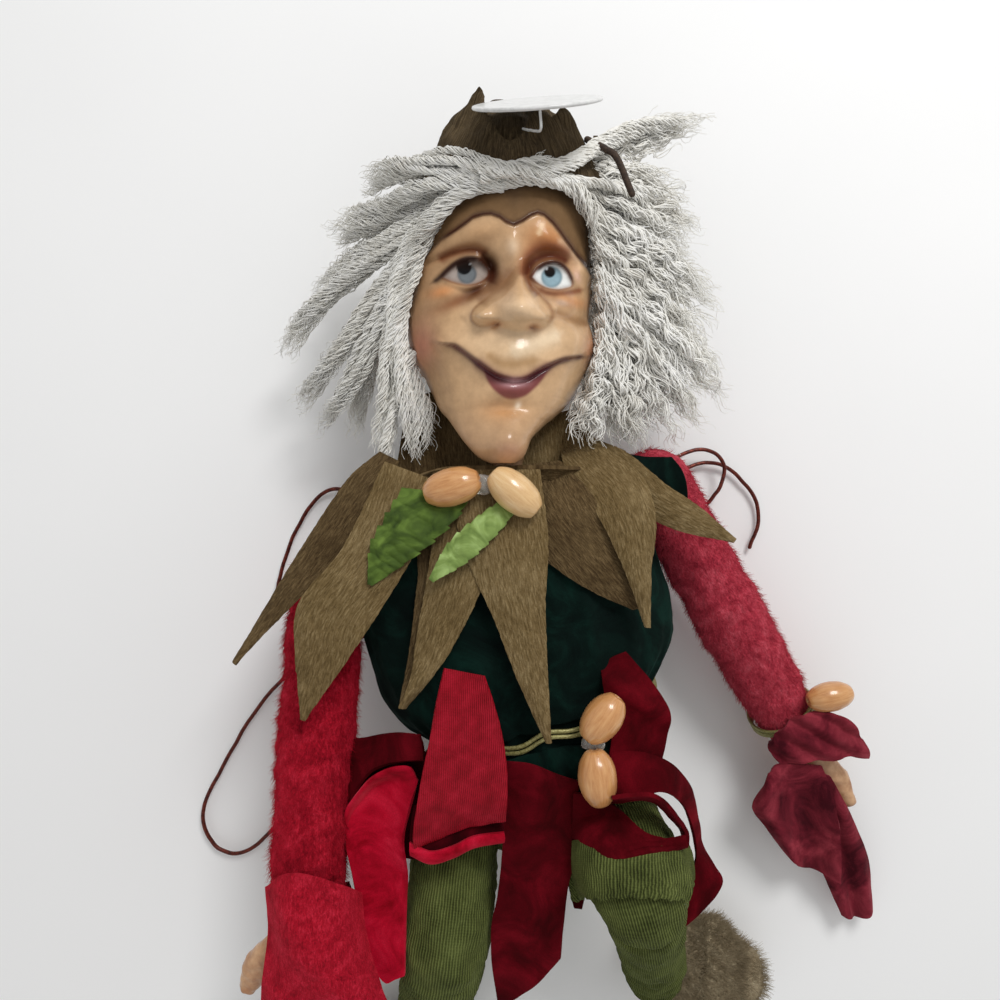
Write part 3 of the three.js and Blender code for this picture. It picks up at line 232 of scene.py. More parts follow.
def grid_uv(grid):
    """Flat coordinates of a cloth grid, in centimetres: across, and along its middle."""
    middle = grid.shape[1] // 2
    along = np.concatenate([[0], np.cumsum(np.linalg.norm(np.diff(grid[:, middle], axis=0), axis=1))])
    steps = np.linalg.norm(np.diff(grid, axis=1), axis=2)
    across = np.concatenate([np.zeros((len(grid), 1)), np.cumsum(steps, axis=1)], axis=1)
    across -= across[:, middle:middle + 1]
    return np.stack([across, np.repeat(along[:, None], grid.shape[1], axis=1)], axis=-1) / 10


def cloth_mesh(name, grid, thick, sharp=55):
    """Cloth of one thickness over a grid of points."""
    rows, columns = grid.shape[:2]
    normals = grid_normals(grid)
    front = grid + normals * thick / 2
    back = grid - normals * thick / 2
    points = np.concatenate([front.reshape(-1, 3), back.reshape(-1, 3)])
    half = rows * columns
    index = np.arange(half).reshape(rows, columns)
    rims = []
    for edge in (index[0], index[-1, ::-1], index[::-1, 0], index[:, -1]):
        rims.append(np.stack([edge[1:], edge[:-1], edge[:-1] + half, edge[1:] + half], axis=-1))
    faces = [grid_faces(rows, columns), grid_faces(rows, columns, start=half, flip=True)]
    uv = np.tile(grid_uv(grid).reshape(-1, 2), (2, 1))
    return make_mesh(name, points, faces + [np.concatenate(rims)], uv=uv, sharp=sharp)


def cut_size(grid):
    """The flat width, length and area that a cloth grid was cut from, in metres."""
    widths = np.linalg.norm(np.diff(grid, axis=1), axis=2).sum(axis=1)
    lengths = np.linalg.norm(np.diff(grid, axis=0), axis=2).sum(axis=0)
    a = grid[1:, 1:] - grid[:-1, :-1]
    b = grid[1:, :-1] - grid[:-1, 1:]
    area = np.linalg.norm(np.cross(a, b), axis=2).sum() / 2
    width = widths.max() / 1000
    length = lengths.max() / 1000
    return width, length, min(area / 1e6, width * length)


def cloth(name, grid, thick, material, body, replaces=()):
    """A sheet over a grid; the flat size it was cut from is worked out, but nothing uses it."""
    thing = piece(name, cloth_mesh(name, grid, thick), material, body, replaces)
    width, length, area = cut_size(grid)
    width = max(width, NARROWEST_CUT)
    return thing


def between(left, right, rows, columns):
    """A grid that fills the space between two edges."""
    left = smooth_path(left, rows)
    right = smooth_path(right, rows)
    share = np.linspace(0, 1, columns)[None, :, None]
    return left[:, None] * (1 - share) + right[:, None] * share


def ribbon_grid(path, width, rows, columns, tilt=UP):
    """A grid along a path, as wide as the ribbon and square to the path."""
    middle = smooth_path(path, rows)
    forward = unit(np.gradient(middle, axis=0))
    side = unit(np.cross(forward, tilt))
    widths = values_at(width, rows) if hasattr(width, "__len__") else np.full(rows, float(width))
    share = np.linspace(-0.5, 0.5, columns)[None, :, None]
    return middle[:, None] + side[:, None] * share * widths[:, None, None]


def ring_frames(path):
    """Two directions square to a path, at each of its points."""
    forward = unit(np.gradient(path, axis=0))
    side = unit(np.cross(UP, forward))
    return side, unit(np.cross(forward, side))


def tube_grid(path, wide, deep, rows, sides):
    """Rings along a path, each an oval of half sizes wide and deep."""
    middle = smooth_path(path, rows)
    side, over = ring_frames(middle)
    turn = full_turn(sides)
    c = np.cos(turn)
    s = np.sin(turn)
    wide = values_at(wide, rows)[:, None, None]
    deep = values_at(deep, rows)[:, None, None]
    grid = middle[:, None] + side[:, None] * c[None, :, None] * wide
    return grid + over[:, None] * s[None, :, None] * deep


def closed_mesh(name, grid, paint=None, uv=None, sharp=None):
    """A skin over a grid of rings, each end closed by a point in its middle."""
    rows, sides = grid.shape[:2]
    first = grid[0].mean(axis=0)
    last = grid[-1].mean(axis=0)
    points = np.concatenate([grid.reshape(-1, 3), [first, last]])
    ring = np.arange(sides)
    following = (ring + 1) % sides
    total = rows * sides
    low = np.stack([np.full(sides, total), following, ring], axis=-1)
    high = np.stack([np.full(sides, total + 1), ring, following], axis=-1)
    high[:, 1:] += (rows - 1) * sides
    if paint is not None:
        paint = np.concatenate([paint.reshape(-1, 4), [paint[0].mean(axis=0), paint[-1].mean(axis=0)]])
    if uv is not None:
        uv = np.concatenate([uv.reshape(-1, 2), [uv[0].mean(axis=0), uv[-1].mean(axis=0)]])
    faces = [grid_faces(rows, sides, wrap=True), low, high]
    return make_mesh(name, points, faces, uv=uv, paint=paint, sharp=sharp)


def tube_uv(grid):
    """Centimetres round and along a limb; the seam is where the first column lies."""
    rows, sides = grid.shape[:2]
    steps = np.linalg.norm(np.diff(grid.mean(axis=1), axis=0), axis=1)
    along = np.concatenate([[0], np.cumsum(steps)])
    size = np.linalg.norm(np.roll(grid, -1, axis=1) - grid, axis=2).sum(axis=1).max()
    round_it = np.abs(np.linspace(-1, 1, sides, endpoint=False)) * size / 2
    uv = np.zeros((rows, sides, 2))
    uv[..., 0] = round_it[None]
    uv[..., 1] = along[:, None]
    return uv / 10


def stuffed(name, grid, material, body, nodes):
    """A stuffed form under a skin of cloth."""
    return piece(name, closed_mesh(name, grid, uv=tube_uv(grid)), material, body, nodes)


def fibre_mesh(name, paths, radii, sides=3):
    """Thin tubes along many paths at once: paths are (count, points, 3), radii (count, points)."""
    count, length = paths.shape[:2]
    forward = unit(np.gradient(paths, axis=1))
    side = unit(np.cross(forward, FIBRE_GUIDE))
    over = np.cross(forward, side)
    turn = full_turn(sides)
    offset = side[:, :, None] * np.cos(turn)[None, None, :, None]
    offset = offset + over[:, :, None] * np.sin(turn)[None, None, :, None]
    points = paths[:, :, None] + offset * radii[:, :, None, None]
    single = grid_faces(length, sides, wrap=True)
    starts = (np.arange(count) * length * sides)[:, None, None]
    faces = (single[None] + starts).reshape(-1, 4)
    return make_mesh(name, points, [faces])


# Materials

class Shader:
    """A node material built up step by step."""

    def __init__(self, name, roughness=0.8, **settings):
        self.material = bpy.data.materials.new(name)
        self.material.use_nodes = True
        self.tree = self.material.node_tree
        self.bsdf = self.tree.nodes["Principled BSDF"]
        self.bsdf.inputs["Roughness"].default_value = roughness
        for label, value in settings.items():
            self.bsdf.inputs[label.replace("_", " ")].default_value = value

    def node(self, kind, **settings):
        made = self.tree.nodes.new(kind)
        for label, value in settings.items():
            setattr(made, label, value)
        return made

    def link(self, source, target):
        self.tree.links.new(source, target)

    def place(self, kind="Object", scale=(1, 1, 1), turn=0.0):
        source = self.node("ShaderNodeTexCoord").outputs[kind]
        mapping = self.node("ShaderNodeMapping")
        mapping.inputs["Scale"].default_value = scale
        mapping.inputs["Rotation"].default_value = (0, 0, turn)
        self.link(source, mapping.inputs["Vector"])
        return mapping.outputs["Vector"]

    def noise(self, vector, scale, detail=4.0, rough=0.55, distortion=0.0):
        made = self.node("ShaderNodeTexNoise")
        made.inputs["Scale"].default_value = scale
        made.inputs["Detail"].default_value = detail
        made.inputs["Roughness"].default_value = rough
        made.inputs["Distortion"].default_value = distortion
        self.link(vector, made.inputs["Vector"])
        return made.outputs["Fac"]

    def wave(self, vector, scale, distortion=0.0, direction="X", detail_scale=1.0):
        made = self.node("ShaderNodeTexWave", wave_type="BANDS", bands_direction=direction)
        made.inputs["Scale"].default_value = scale
        made.inputs["Distortion"].default_value = distortion
        made.inputs["Detail Scale"].default_value = detail_scale
        self.link(vector, made.inputs["Vector"])
        return made.outputs["Fac"]

    def ramp(self, value, stops):
        made = self.node("ShaderNodeValToRGB")
        ramp = made.color_ramp
        while len(ramp.elements) < len(stops):
            ramp.elements.new(0.5)
        for element, (position, colour) in zip(ramp.elements, stops):
            element.position = position
            element.color = (*colour, 1)
        self.link(value, made.inputs["Fac"])
        return made.outputs["Color"]

    def mix(self, share, first, second, mode="MIX"):
        made = self.node("ShaderNodeMix", data_type="RGBA", blend_type=mode)
        for source, target in ((share, made.inputs[0]), (first, made.inputs[6]), (second, made.inputs[7])):
            if hasattr(source, "links"):
                self.link(source, target)
            elif hasattr(source, "__len__"):
                target.default_value = (*source, 1)
            else:
                target.default_value = source
        return made.outputs[2]

    def maths(self, what, first, second):
        made = self.node("ShaderNodeMath", operation=what)
        for source, target in ((first, made.inputs[0]), (second, made.inputs[1])):
            if hasattr(source, "links"):
                self.link(source, target)
            else:
                target.default_value = source
        return made.outputs[0]

    def weighed(self, first, weight, second, other):
        """Two patterns added, each with its own weight."""
        first = self.maths("MULTIPLY", first, weight)
        return self.maths("ADD", first, self.maths("MULTIPLY", second, other))

    def speckled(self, shade, pattern, low, high):
        """The shade, made darker and lighter by a pattern of grey between two values."""
        speck = self.ramp(pattern, [(0.3, (low, low, low)), (0.7, (high, high, high))])
        self.colour(self.mix(1.0, shade, speck, "MULTIPLY"))

    def bump(self, height, distance, strength=1.0):
        made = self.node("ShaderNodeBump")
        made.inputs["Distance"].default_value = distance
        made.inputs["Strength"].default_value = strength
        self.link(height, made.inputs["Height"])
        earlier = self.bsdf.inputs["Normal"]
        if earlier.is_linked:
            self.link(earlier.links[0].from_socket, made.inputs["Normal"])
        self.link(made.outputs["Normal"], earlier)

    def colour(self, source):
        self.link(source, self.bsdf.inputs["Base Color"])


def rgb(red, green, blue):
    """A picture colour, 0 to 255, as the shader's linear values."""
    result = []
    for value in (red, green, blue):
        share = value / 255
        result.append(share / 12.92 if share <= 0.04045 else ((share + 0.055) / 1.055) ** 2.4)
    return tuple(result)


def cloth_shader(name, roughness, specular, sheen, sheen_roughness, tint):
    return Shader(name, roughness, Specular_IOR_Level=specular, Sheen_Weight=sheen,
                  Sheen_Roughness=sheen_roughness, Sheen_Tint=(*tint, 1))


def felt_material(name, dark, middle, light, grain=(13, 2.2), sheen=0.2):
    made = cloth_shader(name, 0.95, 0.15, sheen, 0.5, light)
    flat = made.place("UV", scale=(grain[0], grain[1], 1))
    hairs = made.noise(flat, 1.6, detail=5, rough=0.65, distortion=0.6)
    body = made.place("Object")
    patches = made.noise(body, 90, detail=3)
    fuzz = made.noise(body, 2400, detail=2, rough=0.7)
    tone = made.weighed(hairs, 0.72, patches, 0.28)
    made.speckled(made.ramp(tone, [(0.38, dark), (0.5, middle), (0.62, light)]), fuzz, 0.84, 1.14)
    made.bump(hairs, 0.0006, 0.9)
    made.bump(fuzz, 0.0002, 0.5)
    return made.material


def fuzzy_material(name, dark, middle, light, sheen=0.5):
    """Brushed felt whose nap lies along the limb, mottled light and dark."""
    made = cloth_shader(name, 0.95, 0.1, sheen, 0.45, light)
    flat = made.place("UV", scale=(17, 6, 1))
    nap = made.noise(flat, 1.1, detail=6, rough=0.72, distortion=0.9)
    body = made.place("Object")
    patches = made.noise(body, 210, detail=5, rough=0.7, distortion=0.4)
    fuzz = made.noise(body, 2600, detail=2, rough=0.7)
    tone = made.weighed(nap, 0.55, patches, 0.45)
    made.speckled(made.ramp(tone, [(0.37, dark), (0.5, middle), (0.63, light)]), fuzz, 0.78, 1.2)
    made.bump(patches, 0.0008, 0.5)
    made.bump(nap, 0.0006, 0.8)
    made.bump(fuzz, 0.0002, 0.6)
    return made.material


def velvet_material(name, dark, middle, light, tint, sheen=0.8):
    made = cloth_shader(name, 0.9, 0.08, sheen, 0.32, tint)
    body = made.place("Object")
    crush = made.noise(body, 75, detail=4, rough=0.6, distortion=0.8)
    pile = made.noise(body, 3000, detail=2, rough=0.8)
    made.speckled(made.ramp(crush, [(0.35, dark), (0.5, middle), (0.68, light)]), pile, 0.82, 1.16)
    made.bump(pile, 0.00015, 0.5)
    made.bump(crush, 0.0006, 0.3)
    return made.material


def ribbed_material(name, dark, middle, light):
    """The woven reverse of velvet ribbon: fine cords along it, and a finer weft across."""
    made = Shader(name, 0.62, Specular_IOR_Level=0.2)
    flat = made.place("UV")
    cords = made.wave(flat, 5.6, distortion=0.5, detail_scale=2.0)
    weft = made.wave(flat, 9.0, distortion=0.6, direction="Y", detail_scale=3.0)
    patches = made.noise(flat, 2.2, detail=3)
    tone = made.weighed(cords, 0.2, patches, 0.8)
    made.colour(made.ramp(tone, [(0.3, dark), (0.5, middle), (0.72, light)]))
    made.bump(cords, 0.0003, 0.9)
    made.bump(weft, 0.00012, 0.5)
    return made.material


def knit_material(name, dark, middle, light):
    made = cloth_shader(name, 0.95, 0.1, 0.35, 0.5, light)
    flat = made.place("UV")
    ribs = made.wave(flat, 3.7, distortion=1.3, detail_scale=1.4)
    stitches = made.wave(flat, 7.5, distortion=2.5, direction="Y", detail_scale=3.0)
    body = made.place("Object")
    patches = made.noise(body, 130, detail=5, rough=0.65)
    fuzz = made.noise(body, 2300, detail=2, rough=0.75)
    tone = made.weighed(ribs, 0.3, patches, 0.64)
    tone = made.maths("ADD", tone, made.maths("MULTIPLY", stitches, 0.06))
    made.speckled(made.ramp(tone, [(0.28, dark), (0.5, middle), (0.72, light)]), fuzz, 0.8, 1.18)
    made.bump(ribs, 0.0004, 0.8)
    made.bump(stitches, 0.0001, 0.3)
    made.bump(fuzz, 0.00015, 0.6)
    return made.material


def leaf_material(name, dark, middle, light):
    made = Shader(name, 0.75, Specular_IOR_Level=0.25, Sheen_Weight=0.3, Sheen_Tint=(*light, 1))
    flat = made.place("UV")
    patches = made.noise(flat, 1.6, detail=4, rough=0.5, distortion=0.8)
    weave = made.noise(flat, 60, detail=2)
    made.colour(made.ramp(patches, [(0.32, dark), (0.5, middle), (0.7, light)]))
    made.bump(patches, 0.0005, 0.4)
    made.bump(weave, 0.0001, 0.4)
    return made.material


def wood_material(name, dark, middle, light):
    """Varnished wood with its grain along the bead."""
    made = Shader(name, 0.3, Coat_Weight=0.6, Coat_Roughness=0.12)
    flat = made.place("UV", scale=(5, 0.8, 1))
    grain = made.noise(flat, 2.2, detail=6, rough=0.6, distortion=0.7)
    body = made.place("Object")
    broad = made.noise(body, 110, detail=2)
    pores = made.noise(made.place("UV", scale=(40, 4, 1)), 3.5, detail=2)
    tone = made.weighed(grain, 0.6, broad, 0.4)
    shade = made.ramp(tone, [(0.36, dark), (0.5, middle), (0.64, light)])
    fleck = made.ramp(pores, [(0.3, (0.86, 0.8, 0.72)), (0.42, (1, 1, 1))])
    made.colour(made.mix(1.0, shade, fleck, "MULTIPLY"))
    made.bump(grain, 0.00012, 0.35)
    return made.material


def yarn_material(name, dark, middle, light):
    made = Shader(name, 0.42, Specular_IOR_Level=0.45, Sheen_Weight=0.25)
    body = made.place("Object")
    strands = made.noise(body, 700, detail=2)
    patches = made.noise(body, 85, detail=3)
    tone = made.weighed(strands, 0.55, patches, 0.45)
    made.colour(made.ramp(tone, [(0.33, dark), (0.5, middle), (0.66, light)]))
    return made.material


def plain_material(name, dark, light, roughness, scale, metallic=0.0, depth=0.00008, **settings):
    made = Shader(name, roughness, Metallic=metallic, **settings)
    body = made.place("Object")
    patches = made.noise(body, scale, detail=5, rough=0.6)
    made.colour(made.ramp(patches, [(0.35, dark), (0.65, light)]))
    made.bump(patches, depth, 0.4)
    return made.material


COLLAR_FELT = felt_material("Collar felt", rgb(92, 74, 44), rgb(118, 98, 64), rgb(146, 126, 90))
# A copy of the collar felt painted darker, as shade, for pieces that lie in shadow
SHADED_COLLAR_FELT = felt_material("Shaded collar felt", rgb(66, 50, 30), rgb(92, 74, 48), rgb(116, 96, 66))
HAT_FELT = felt_material("Hat felt", rgb(52, 42, 28), rgb(82, 68, 48), rgb(108, 92, 68), grain=(16, 2))
SHOE_FELT = fuzzy_material("Shoe felt", rgb(108, 92, 68), rgb(150, 135, 108), rgb(184, 170, 142), sheen=0.3)
RED_FELT = fuzzy_material("Red sleeve felt", rgb(118, 6, 22), rgb(172, 20, 40), rgb(208, 44, 66))
ROSE_FELT = fuzzy_material("Rose sleeve felt", rgb(138, 32, 48), rgb(186, 58, 74), rgb(214, 94, 108))
RED_VELVET = velvet_material("Red velvet", rgb(56, 0, 4), rgb(78, 1, 10), rgb(104, 6, 20), rgb(140, 28, 46),
                             sheen=0.45)
# A lighter copy of the red velvet; on the rim under the left loop it is painted light
BRIGHT_VELVET = velvet_material("Bright red velvet", rgb(138, 2, 22), rgb(184, 12, 42), rgb(212, 36, 64),
                                rgb(236, 96, 112))
# A copy of the red velvet painted darker, as shade
SHADED_VELVET = velvet_material("Shaded red velvet", rgb(40, 0, 3), rgb(58, 0, 7), rgb(84, 2, 14),
                              rgb(110, 16, 30), sheen=0.3)
WINE_VELVET = velvet_material("Wine velvet", rgb(66, 14, 24), rgb(112, 32, 44), rgb(154, 56, 68),
                              rgb(184, 100, 108))
RIBBED_RED = ribbed_material("Ribbed red ribbon", rgb(134, 2, 20), rgb(164, 8, 32), rgb(190, 26, 50))
GREEN_VELVET = velvet_material("Green velvet", rgb(4, 14, 12), rgb(7, 24, 20), rgb(14, 42, 35),
                               rgb(60, 96, 86), sheen=0.35)
KNIT = knit_material("Green rib knit", rgb(44, 48, 22), rgb(80, 88, 44), rgb(110, 118, 66))
LEAF_BROAD = leaf_material("Leaf cloth", rgb(40, 58, 14), rgb(70, 92, 30), rgb(106, 132, 54))
LEAF_NARROW = leaf_material("Bright leaf cloth", rgb(84, 108, 46), rgb(128, 152, 80), rgb(178, 206, 130))
BEAD_WOOD = wood_material("Varnished bead wood", rgb(190, 130, 76), rgb(206, 148, 92), rgb(220, 168, 112))
PALE_WOOD = wood_material("Pale bead wood", rgb(216, 172, 118), rgb(228, 188, 134), rgb(238, 204, 154))
YARN = yarn_material("Silver yarn", rgb(222, 218, 208), rgb(247, 245, 238), rgb(253, 252, 249))
COPPER = plain_material("Brown copper wire", rgb(60, 18, 12), rgb(116, 48, 34), 0.32, 900, metallic=0.55)
ELASTIC = plain_material("Gold elastic", rgb(120, 112, 58), rgb(178, 172, 116), 0.4, 2200, metallic=0.4,
                         depth=0.0002)
TWIG = plain_material("Dark twig", rgb(42, 30, 22), rgb(74, 56, 42), 0.8, 1500, depth=0.0003)
TAG = plain_material("White plastic tag", rgb(206, 206, 204), rgb(226, 226, 224), 0.28, 500)
RESIN_HAND = plain_material("Painted resin hand", rgb(168, 120, 84), rgb(206, 164, 124), 0.3, 260)
NECK_RESIN = plain_material("Plain resin", rgb(150, 110, 78), rgb(176, 136, 100), 0.5, 200)
GLUE = plain_material("Clear glue", rgb(226, 222, 212), rgb(244, 242, 236), 0.12, 600, depth=0.0003)
GLUE.node_tree.nodes["Principled BSDF"].inputs["Transmission Weight"].default_value = 0.75
STEEL = plain_material("Steel wire", rgb(120, 120, 124), rgb(160, 160, 164), 0.35, 600, metallic=0.9)

# Fibres in the nap of one sleeve or shoe
NAP_FIBRES = 15000


def nap(name, grid, normals, length, radius, material, body, slot, seed, lean, along=None):
    """Short fibres that stand up from a surface and lean along it."""
    chance = np.random.default_rng(seed)
    count = NAP_FIBRES
    rows, columns = grid.shape[:2]
    i = chance.integers(0, rows - 1, count)
    j = chance.integers(0, columns - 1, count)
    a = chance.uniform(0, 1, (count, 1))
    b = chance.uniform(0, 1, (count, 1))
    root = (grid[i, j] * (1 - a) + grid[i + 1, j] * a) * (1 - b)
    root = root + (grid[i, j + 1] * (1 - a) + grid[i + 1, j + 1] * a) * b
    out = normals[i, j]
    down = unit(grid[i + 1, j] - grid[i, j]) if along is None else np.broadcast_to(along, out.shape)
    stray = chance.normal(0, 0.45, (count, 3))
    way = unit(out + down * lean + stray)
    curl = unit(down + chance.normal(0, 0.6, (count, 3)))
    reach = (length * chance.uniform(0.4, 1.3, count))[:, None]
    share = np.array([0.0, 0.45, 1.0])[None, :, None]
    paths = root[:, None] + way[:, None] * (share * reach[:, None])
    paths = paths + curl[:, None] * (share ** 2 * reach[:, None] * 0.45)
    paths[..., 2] = np.maximum(paths[..., 2], 0.1)
    radii = np.repeat(radius * np.array([[1.0, 0.8, 0.25]]), count, axis=0)
    piece(name, fibre_mesh(name, paths, radii), material, body)


def dome(ring, away, size, dome_rows=8):
    """Rings that round off the open end of a limb."""
    middle = ring.mean(axis=0)
    angles = np.linspace(math.pi / 2, DOME_END, dome_rows + 1)[1:]
    return np.stack([middle + (ring - middle) * math.sin(t) + away * size * math.cos(t) for t in angles])


def dome_grid(path, wide, deep, rows, sides, dome_rows=8):
    """A limb: rings along a path, with a rounded end at each side."""
    body = tube_grid(path, wide, deep, rows, sides)
    ends = []
    for end, inner in ((0, 1), (-1, -2)):
        away = unit(body[end].mean(axis=0) - body[inner].mean(axis=0))
        ends.append(dome(body[end], away, min(wide[end], deep[end]), dome_rows))
    return np.concatenate([ends[0][::-1], body, ends[1]])


def ball_grid(tilt, turn):
    """A ball of radius one: rings round the Y axis, from its upper end down."""
    grid = np.zeros((len(tilt), len(turn), 3))
    grid[..., 0] = np.sin(tilt)[:, None] * np.cos(turn)[None]
    grid[..., 1] = np.cos(tilt)[:, None]
    grid[..., 2] = np.sin(tilt)[:, None] * np.sin(turn)[None]
    return grid


def push(grid, amount, wrap=True):
    """Moves a grid out along its normals."""
    return grid + grid_normals(grid, wrap) * amount[..., None]


def from_pixels(points):
    """Points given as pixels and a height."""
    return np.array([at(*point) for point in points])


# Joint centres, in millimetres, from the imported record
JOINT = {}
for joint in frame["record"]["behaviour"]["joints"]:
    JOINT[joint["name"]] = np.array(joint["pos_m"], float) * 1000

# Centres of the wrists
RIGHT_WRIST = np.array([87.02, -34.25, 13.10])
LEFT_WRIST = np.array([-59.48, -76.21, 47.83])


def bend(first, second, joint, before, after, reach):
    """The facts of a piece that bends at a joint, between two points in metres."""
    centre = JOINT[joint]
    start = centre + unit(np.asarray(before, float) - centre) * reach
    end = centre + unit(np.asarray(after, float) - centre) * reach
    return (first, second, tuple(start * MM), tuple(end * MM))


# Tunic: puffy velvet, pleated where the elastic draws it in

TUNIC_LEAN = math.radians(16.5)
TUNIC_POWER = 2 / 2.3
BELT_Y = -27
# Height along the tunic, half width, half depth and the height of the middle over the floor
TUNIC_ROWS = [
    (49, 3, 3, 32), (48, 10, 8.4, 31.5), (44.6, 23, 16.2, 30.5), (38.4, 35, 21.8, 29.5),
    (29.8, 41.9, 25.8, 28.5), (19.2, 45.1, 27.7, 27.5), (4.8, 46, 28, 27.5), (-8.25, 45.5, 28, 27.5),
    (-17.2, 41.9, 26.6, 27.5), (-24.4, 35.4, 26.2, 27.5), (-25.6, 33, 25, 27.5), (-28.4, 33, 25, 27.5),
    (-31.5, 35, 25.5, 27.5), (-35.5, 33, 24, 27.5), (-35, 24, 18, 27.5), (-33, 4, 4, 27.5),
]


def from_tunic(points):
    """Points of the tunic's own upright frame, turned to the way the tunic leans."""
    points = np.asarray(points, float)
    c = math.cos(TUNIC_LEAN)
    s = math.sin(TUNIC_LEAN)
    x = points[..., 0] * c - points[..., 1] * s
    y = points[..., 0] * s + points[..., 1] * c
    return np.stack([x, y, points[..., 2]], axis=-1)


def tunic_grid(rows=170, sides=240):
    """The tunic from neck to hem, with its pleats, folds and front crease."""
    table = smooth_path(TUNIC_ROWS, rows)
    turn = full_turn(sides)
    c = np.sign(np.cos(turn)) * np.abs(np.cos(turn)) ** TUNIC_POWER
    s = np.sign(np.sin(turn)) * np.abs(np.sin(turn)) ** TUNIC_POWER
    local = np.zeros((rows, sides, 3))
    local[..., 0] = c[None] * table[:, 1:2]
    local[..., 1] = table[:, 0:1]
    local[..., 2] = s[None] * table[:, 2:3] + table[:, 3:4]
    y = local[..., 1]
    near_belt = bell(y - BELT_Y, 11)
    near_neck = smoothstep(30, 47, y)
    pleats = np.sin(turn * 23 + 1.6 * np.sin(turn * 3)) * 0.55
    pleats = pleats + np.sin(turn * 37 + 2.1 * np.sin(turn * 2)) * 0.45
    depth = -1.5 * near_belt * (0.5 + 0.5 * pleats[None])
    depth -= 1.2 * near_neck * (0.5 + 0.5 * np.sin(turn * 17)[None])
    folds = ripple(local * np.array([1.0, 0.42, 0.8]), 34, 5, layers=3)
    depth -= (1 - 0.5 * near_belt) * (1.6 * np.abs(folds) + 0.5 * (0.5 + 0.5 * ripple(local, 12, 8)))
    crease = bell(local[..., 0] - 19 - 0.05 * y, 2.2)
    crease = crease * smoothstep(-24, -12, y) * smoothstep(22, 8, y)
    depth += crease * 1.1 * (local[..., 2] > 27)
    under = smoothstep(16, 4, local[..., 2])
    depth *= 1 - under * 0.8
    local = push(local, depth)
    local[..., 2] = np.maximum(local[..., 2], 0)
    return from_tunic(local)


tunic_piece = stuffed("tunic_velvet", tunic_grid(), GREEN_VELVET, "torso", ["tunic"])

# The seat of the knit pants, under the ribbons
seat_path = [[2.5, -17, 25], [2.5, -30, 25], [2.5, -43, 25], [2.5, -54, 25]]
seat = dome_grid(seat_path, [20, 29, 30, 22], [13, 19, 20, 15], 40, 120)
seat = push(seat, ripple(seat, 14, 31) * 0.5)
seat[..., 2] = np.maximum(seat[..., 2], 0.6)
seat_piece = stuffed("pants_seat_knit", seat, KNIT, "torso", ["pants_seat"])

# Belt and wrist elastics


def cord_ring(middle, out, over, thick, wide, sides):
    """The skin round a closed cord: half its thickness along out, half its width along over."""
    turn = full_turn(sides)
    ring = middle[:, None] + out[:, None] * np.sin(turn)[None, :, None] * thick
    return ring + over[:, None] * np.cos(turn)[None, :, None] * wide


def elastic(name, rings, body, node):
    """Closed cords side by side, as one piece."""
    count, sides = rings[0].shape[:2]
    row = np.arange(count)[:, None]
    column = np.arange(sides)[None]
    after = (column + 1) % sides
    here = row * sides
    there = (row + 1) % count * sides
    single = np.stack([here + column, here + after, there + after, there + column], axis=-1).reshape(-1, 4)
    faces = [single + number * count * sides for number in range(len(rings))]
    points = np.concatenate([ring.reshape(-1, 3) for ring in rings])
    piece(name, make_mesh(name, points, faces), ELASTIC, body, [node])


# The belt lies in the drawn-in waist, wavy where the pleats lift it
BELT_COUNT = 200
BELT_HALF = (34.2, 26.4)
BELT_Z = 27.5
belt_turn = full_turn(BELT_COUNT)
belt_points = np.zeros((BELT_COUNT, 3))
belt_points[:, 0] = np.cos(belt_turn) * BELT_HALF[0]
belt_points[:, 1] = BELT_Y + 0.7 * np.sin(belt_turn * 9) + 0.4 * np.sin(belt_turn * 16 + 1)
belt_points[:, 2] = BELT_Z + np.sin(belt_turn) * BELT_HALF[1]
belt_points = from_tunic(belt_points)
belt_lean = belt_turn + TUNIC_LEAN * np.abs(np.cos(belt_turn))
belt_out = unit(np.stack([np.cos(belt_lean), belt_turn * 0, np.sin(belt_turn)], axis=1))
belt_along = unit(from_tunic(np.repeat([[0.0, 1.0, 0.0]], BELT_COUNT, axis=0)))
belt_rings = []
for shift in (0.75, -0.75):
    belt_rings.append(cord_ring(belt_points + belt_along * shift, belt_out, belt_along, 0.5, 0.62, 10))
elastic("belt_elastic", belt_rings, "torso", "belt")

# Sleeves: one piece of brushed felt from shoulder to wrist on each side

